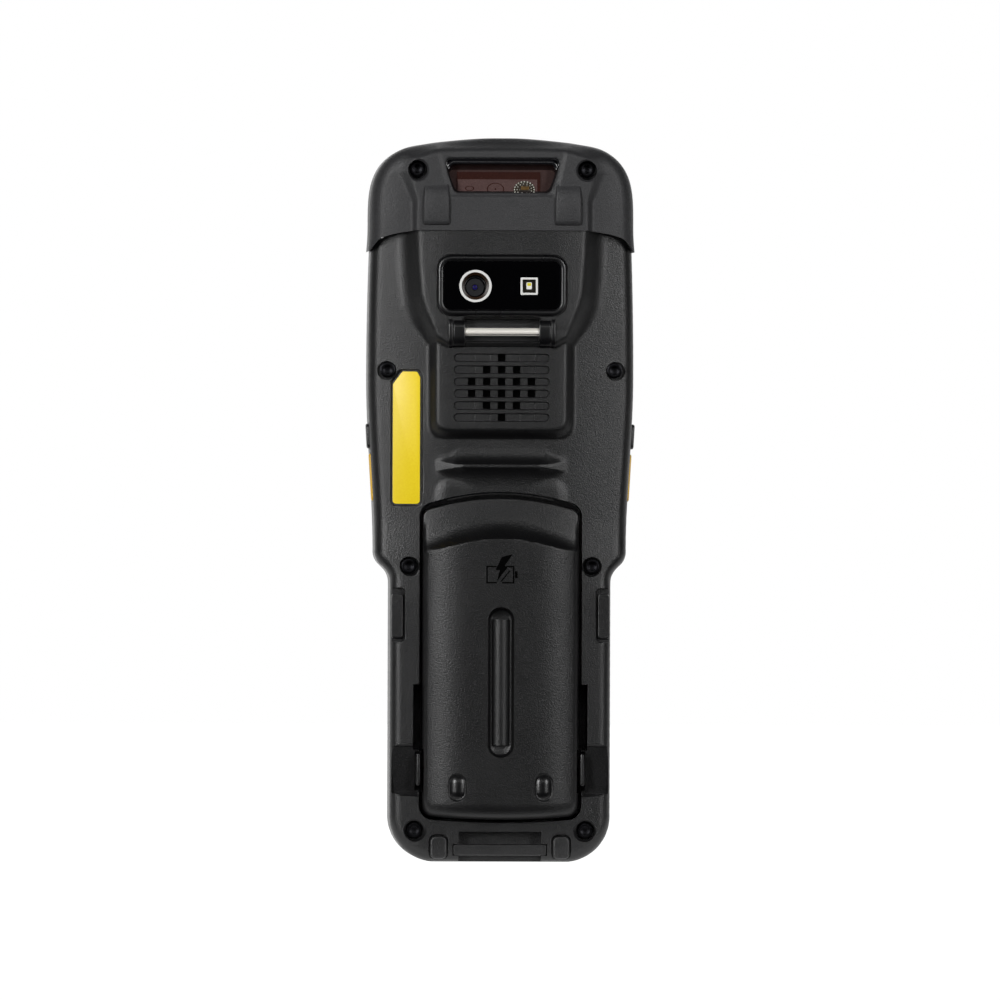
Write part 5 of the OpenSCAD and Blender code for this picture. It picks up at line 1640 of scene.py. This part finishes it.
arrowUp = [(0, 1.0), (-1.1, -0.5), (1.1, -0.5)]
arrowDown = [(a, -b) for a, b in reversed(arrowUp)]
arrowRight = [(0.9, 0), (-0.5, 1.0), (-0.5, -1.0)]
arrowLeft = [(-0.9, 0), (0.5, -1.0), (0.5, 1.0)]
backArrow = [(-2.4, 0), (-0.6, -1.5), (-0.6, -0.4), (2.2, -0.4), (2.2, 0.4), (-0.6, 0.4), (-0.6, 1.5)]
enterArrow = [(-2.4, -0.6), (-0.8, -1.9), (-0.8, -0.95), (2.2, -0.95), (2.2, 1.5), (1.5, 1.5), (1.5, -0.25),
              (-0.8, -0.25), (-0.8, 0.7)]
barWidths = (0.7, 0.3, 0.5, 0.25, 0.7, 0.3, 0.5)
marks = {"key_nav": [flatMark(arrowRight, right=8.6), flatMark(arrowLeft, right=-8.6),
                     flatMark(arrowUp, up=3.7), flatMark(arrowDown, up=-3.7), ringMark(2.2, 1.85)],
         "key_back": [flatMark(backArrow)],
         "key_enter": [flatMark(enterArrow)],
         "key_soft_left": [barMark(-2.2, -0.22, 2.2, 0.22)],
         "key_soft_right": [barMark(-2.2, -0.22, 2.2, 0.22)],
         "key_power": [ringMark(1.35, 1.05), barMark(-0.16, 0.2, 0.16, 1.75)],
         "key_scan": [barMark(k * 1.2 - 3.6, -1.5, w - 3.6 + k * 1.2, 1.5) for k, w in enumerate(barWidths)]}
for name, key in frontKeys.items():
    # a domed cap over a flange that keeps it in, with its figure printed on top
    x, z = key[:2]
    top, flangeLow, flangeHigh, flange = front["keyTopY"], 13.3, 14.1, 0.7
    rings = [(flangeLow, flange), (flangeHigh, flange), (flangeHigh, 0), (top - 0.75, 0), (top - 0.4, -0.1),
             (top - 0.15, -0.32), (top - 0.03, -0.7), (top, -1.2)]
    parts = [(stack([(y, keyShape(key, grow)) for y, grow in rings]), 0)]
    if name in keyFigures:
        parts.append((onKey(figureMesh(keyFigures[name], 5.4), x, z), 1))
    for mark in marks.get(name, []):
        parts.append((onKey(mark, x, z), 1))
    finish = triggerYellow if name == "key_scan" else powerRed if name == "key_power" else keyPlastic
    figureFinish = fittingPlastic if name == "key_scan" else legendWhite
    pieceName = "key" + name[4:].title().replace("_", "")
    dress(joined(pieceName, parts), name, [name],
          [finish, figureFinish], angle=40, weighted=True)
print("keys ready:", len(frontKeys))


# ---- dock connector and the inner parts

dock = {"half": 11.0, "wall": 1.2, "recess": 1.6, "high": 7.0, "pitch": 2.0, "pinTip": 0.9}
dockY = front["dockY"]
dockBody = solid(box((-dock["half"], dockY[0], 0.4), (dock["half"], dockY[1], dock["high"])))
carve(dockBody, [box((-dock["half"] + dock["wall"], dockY[0] + dock["wall"], -1.0),
                     (dock["half"] - dock["wall"], dockY[1] - dock["wall"], dock["recess"]))])
dockShell = bmesh.new()
dockShell.from_mesh(dockBody.data)
bmesh.ops.scale(dockShell, vec=(1 / mm, 1 / mm, 1 / mm), verts=dockShell.verts)
bpy.data.objects.remove(dockBody)
dockParts = [(dockShell, 0)]
tip = dock["pinTip"]
pinProfile = [(0, tip), (0.25, tip + 0.03), (0.42, tip + 0.14), (0.5, tip + 0.34), (0.5, 1.9), (0, 1.9)]
for i in range(-4, 5):
    # spring pins with rounded tips
    place = (i * dock["pitch"], sum(dockY) / 2, 0)
    dockParts.append((lathe(pinProfile, place, (0, 0, 1), 24), 1))
dress(joined("dockConnector", dockParts), "housing", ["dock_connector"],
      [fittingPlastic, goldPlate], angle=30, bevel=0.08)

gasketFoam = mouldedPlastic("blackGasketFoam", "#0b0b0b", "#151515", 0.8, 0.05, 0.8, 0.95, 0.2)
domeFilm = glossPlastic("silverDomeFilm", "#b9bbbd", 0.3)
tapeWhite = mouldedPlastic("whiteTerminalNylon", "#c9c8c2", "#d8d7d2", 0.5, 0.01, 0.45, 0.55)
innerFinishes = {"seam_gasket": gasketFoam, "display_gasket": gasketFoam, "chassis": castAlloy,
                 "main_board": boardMask, "keypad_board": boardMask, "dome_sheet": domeFilm,
                 "side_switches": switchGrey, "engine_bracket": castAlloy, "vibration_motor": castAlloy,
                 "terminal_block": tapeWhite, "earpiece": fittingPlastic, "battery_cells": cellWrap,
                 "battery_pads": goldPlate}
for node, material in innerFinishes.items():
    refinish(node, material)
print("inner parts finished:", ", ".join(sorted(innerFinishes)))
unfinished = [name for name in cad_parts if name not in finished]
print("nodes without a finish of their own:", unfinished)
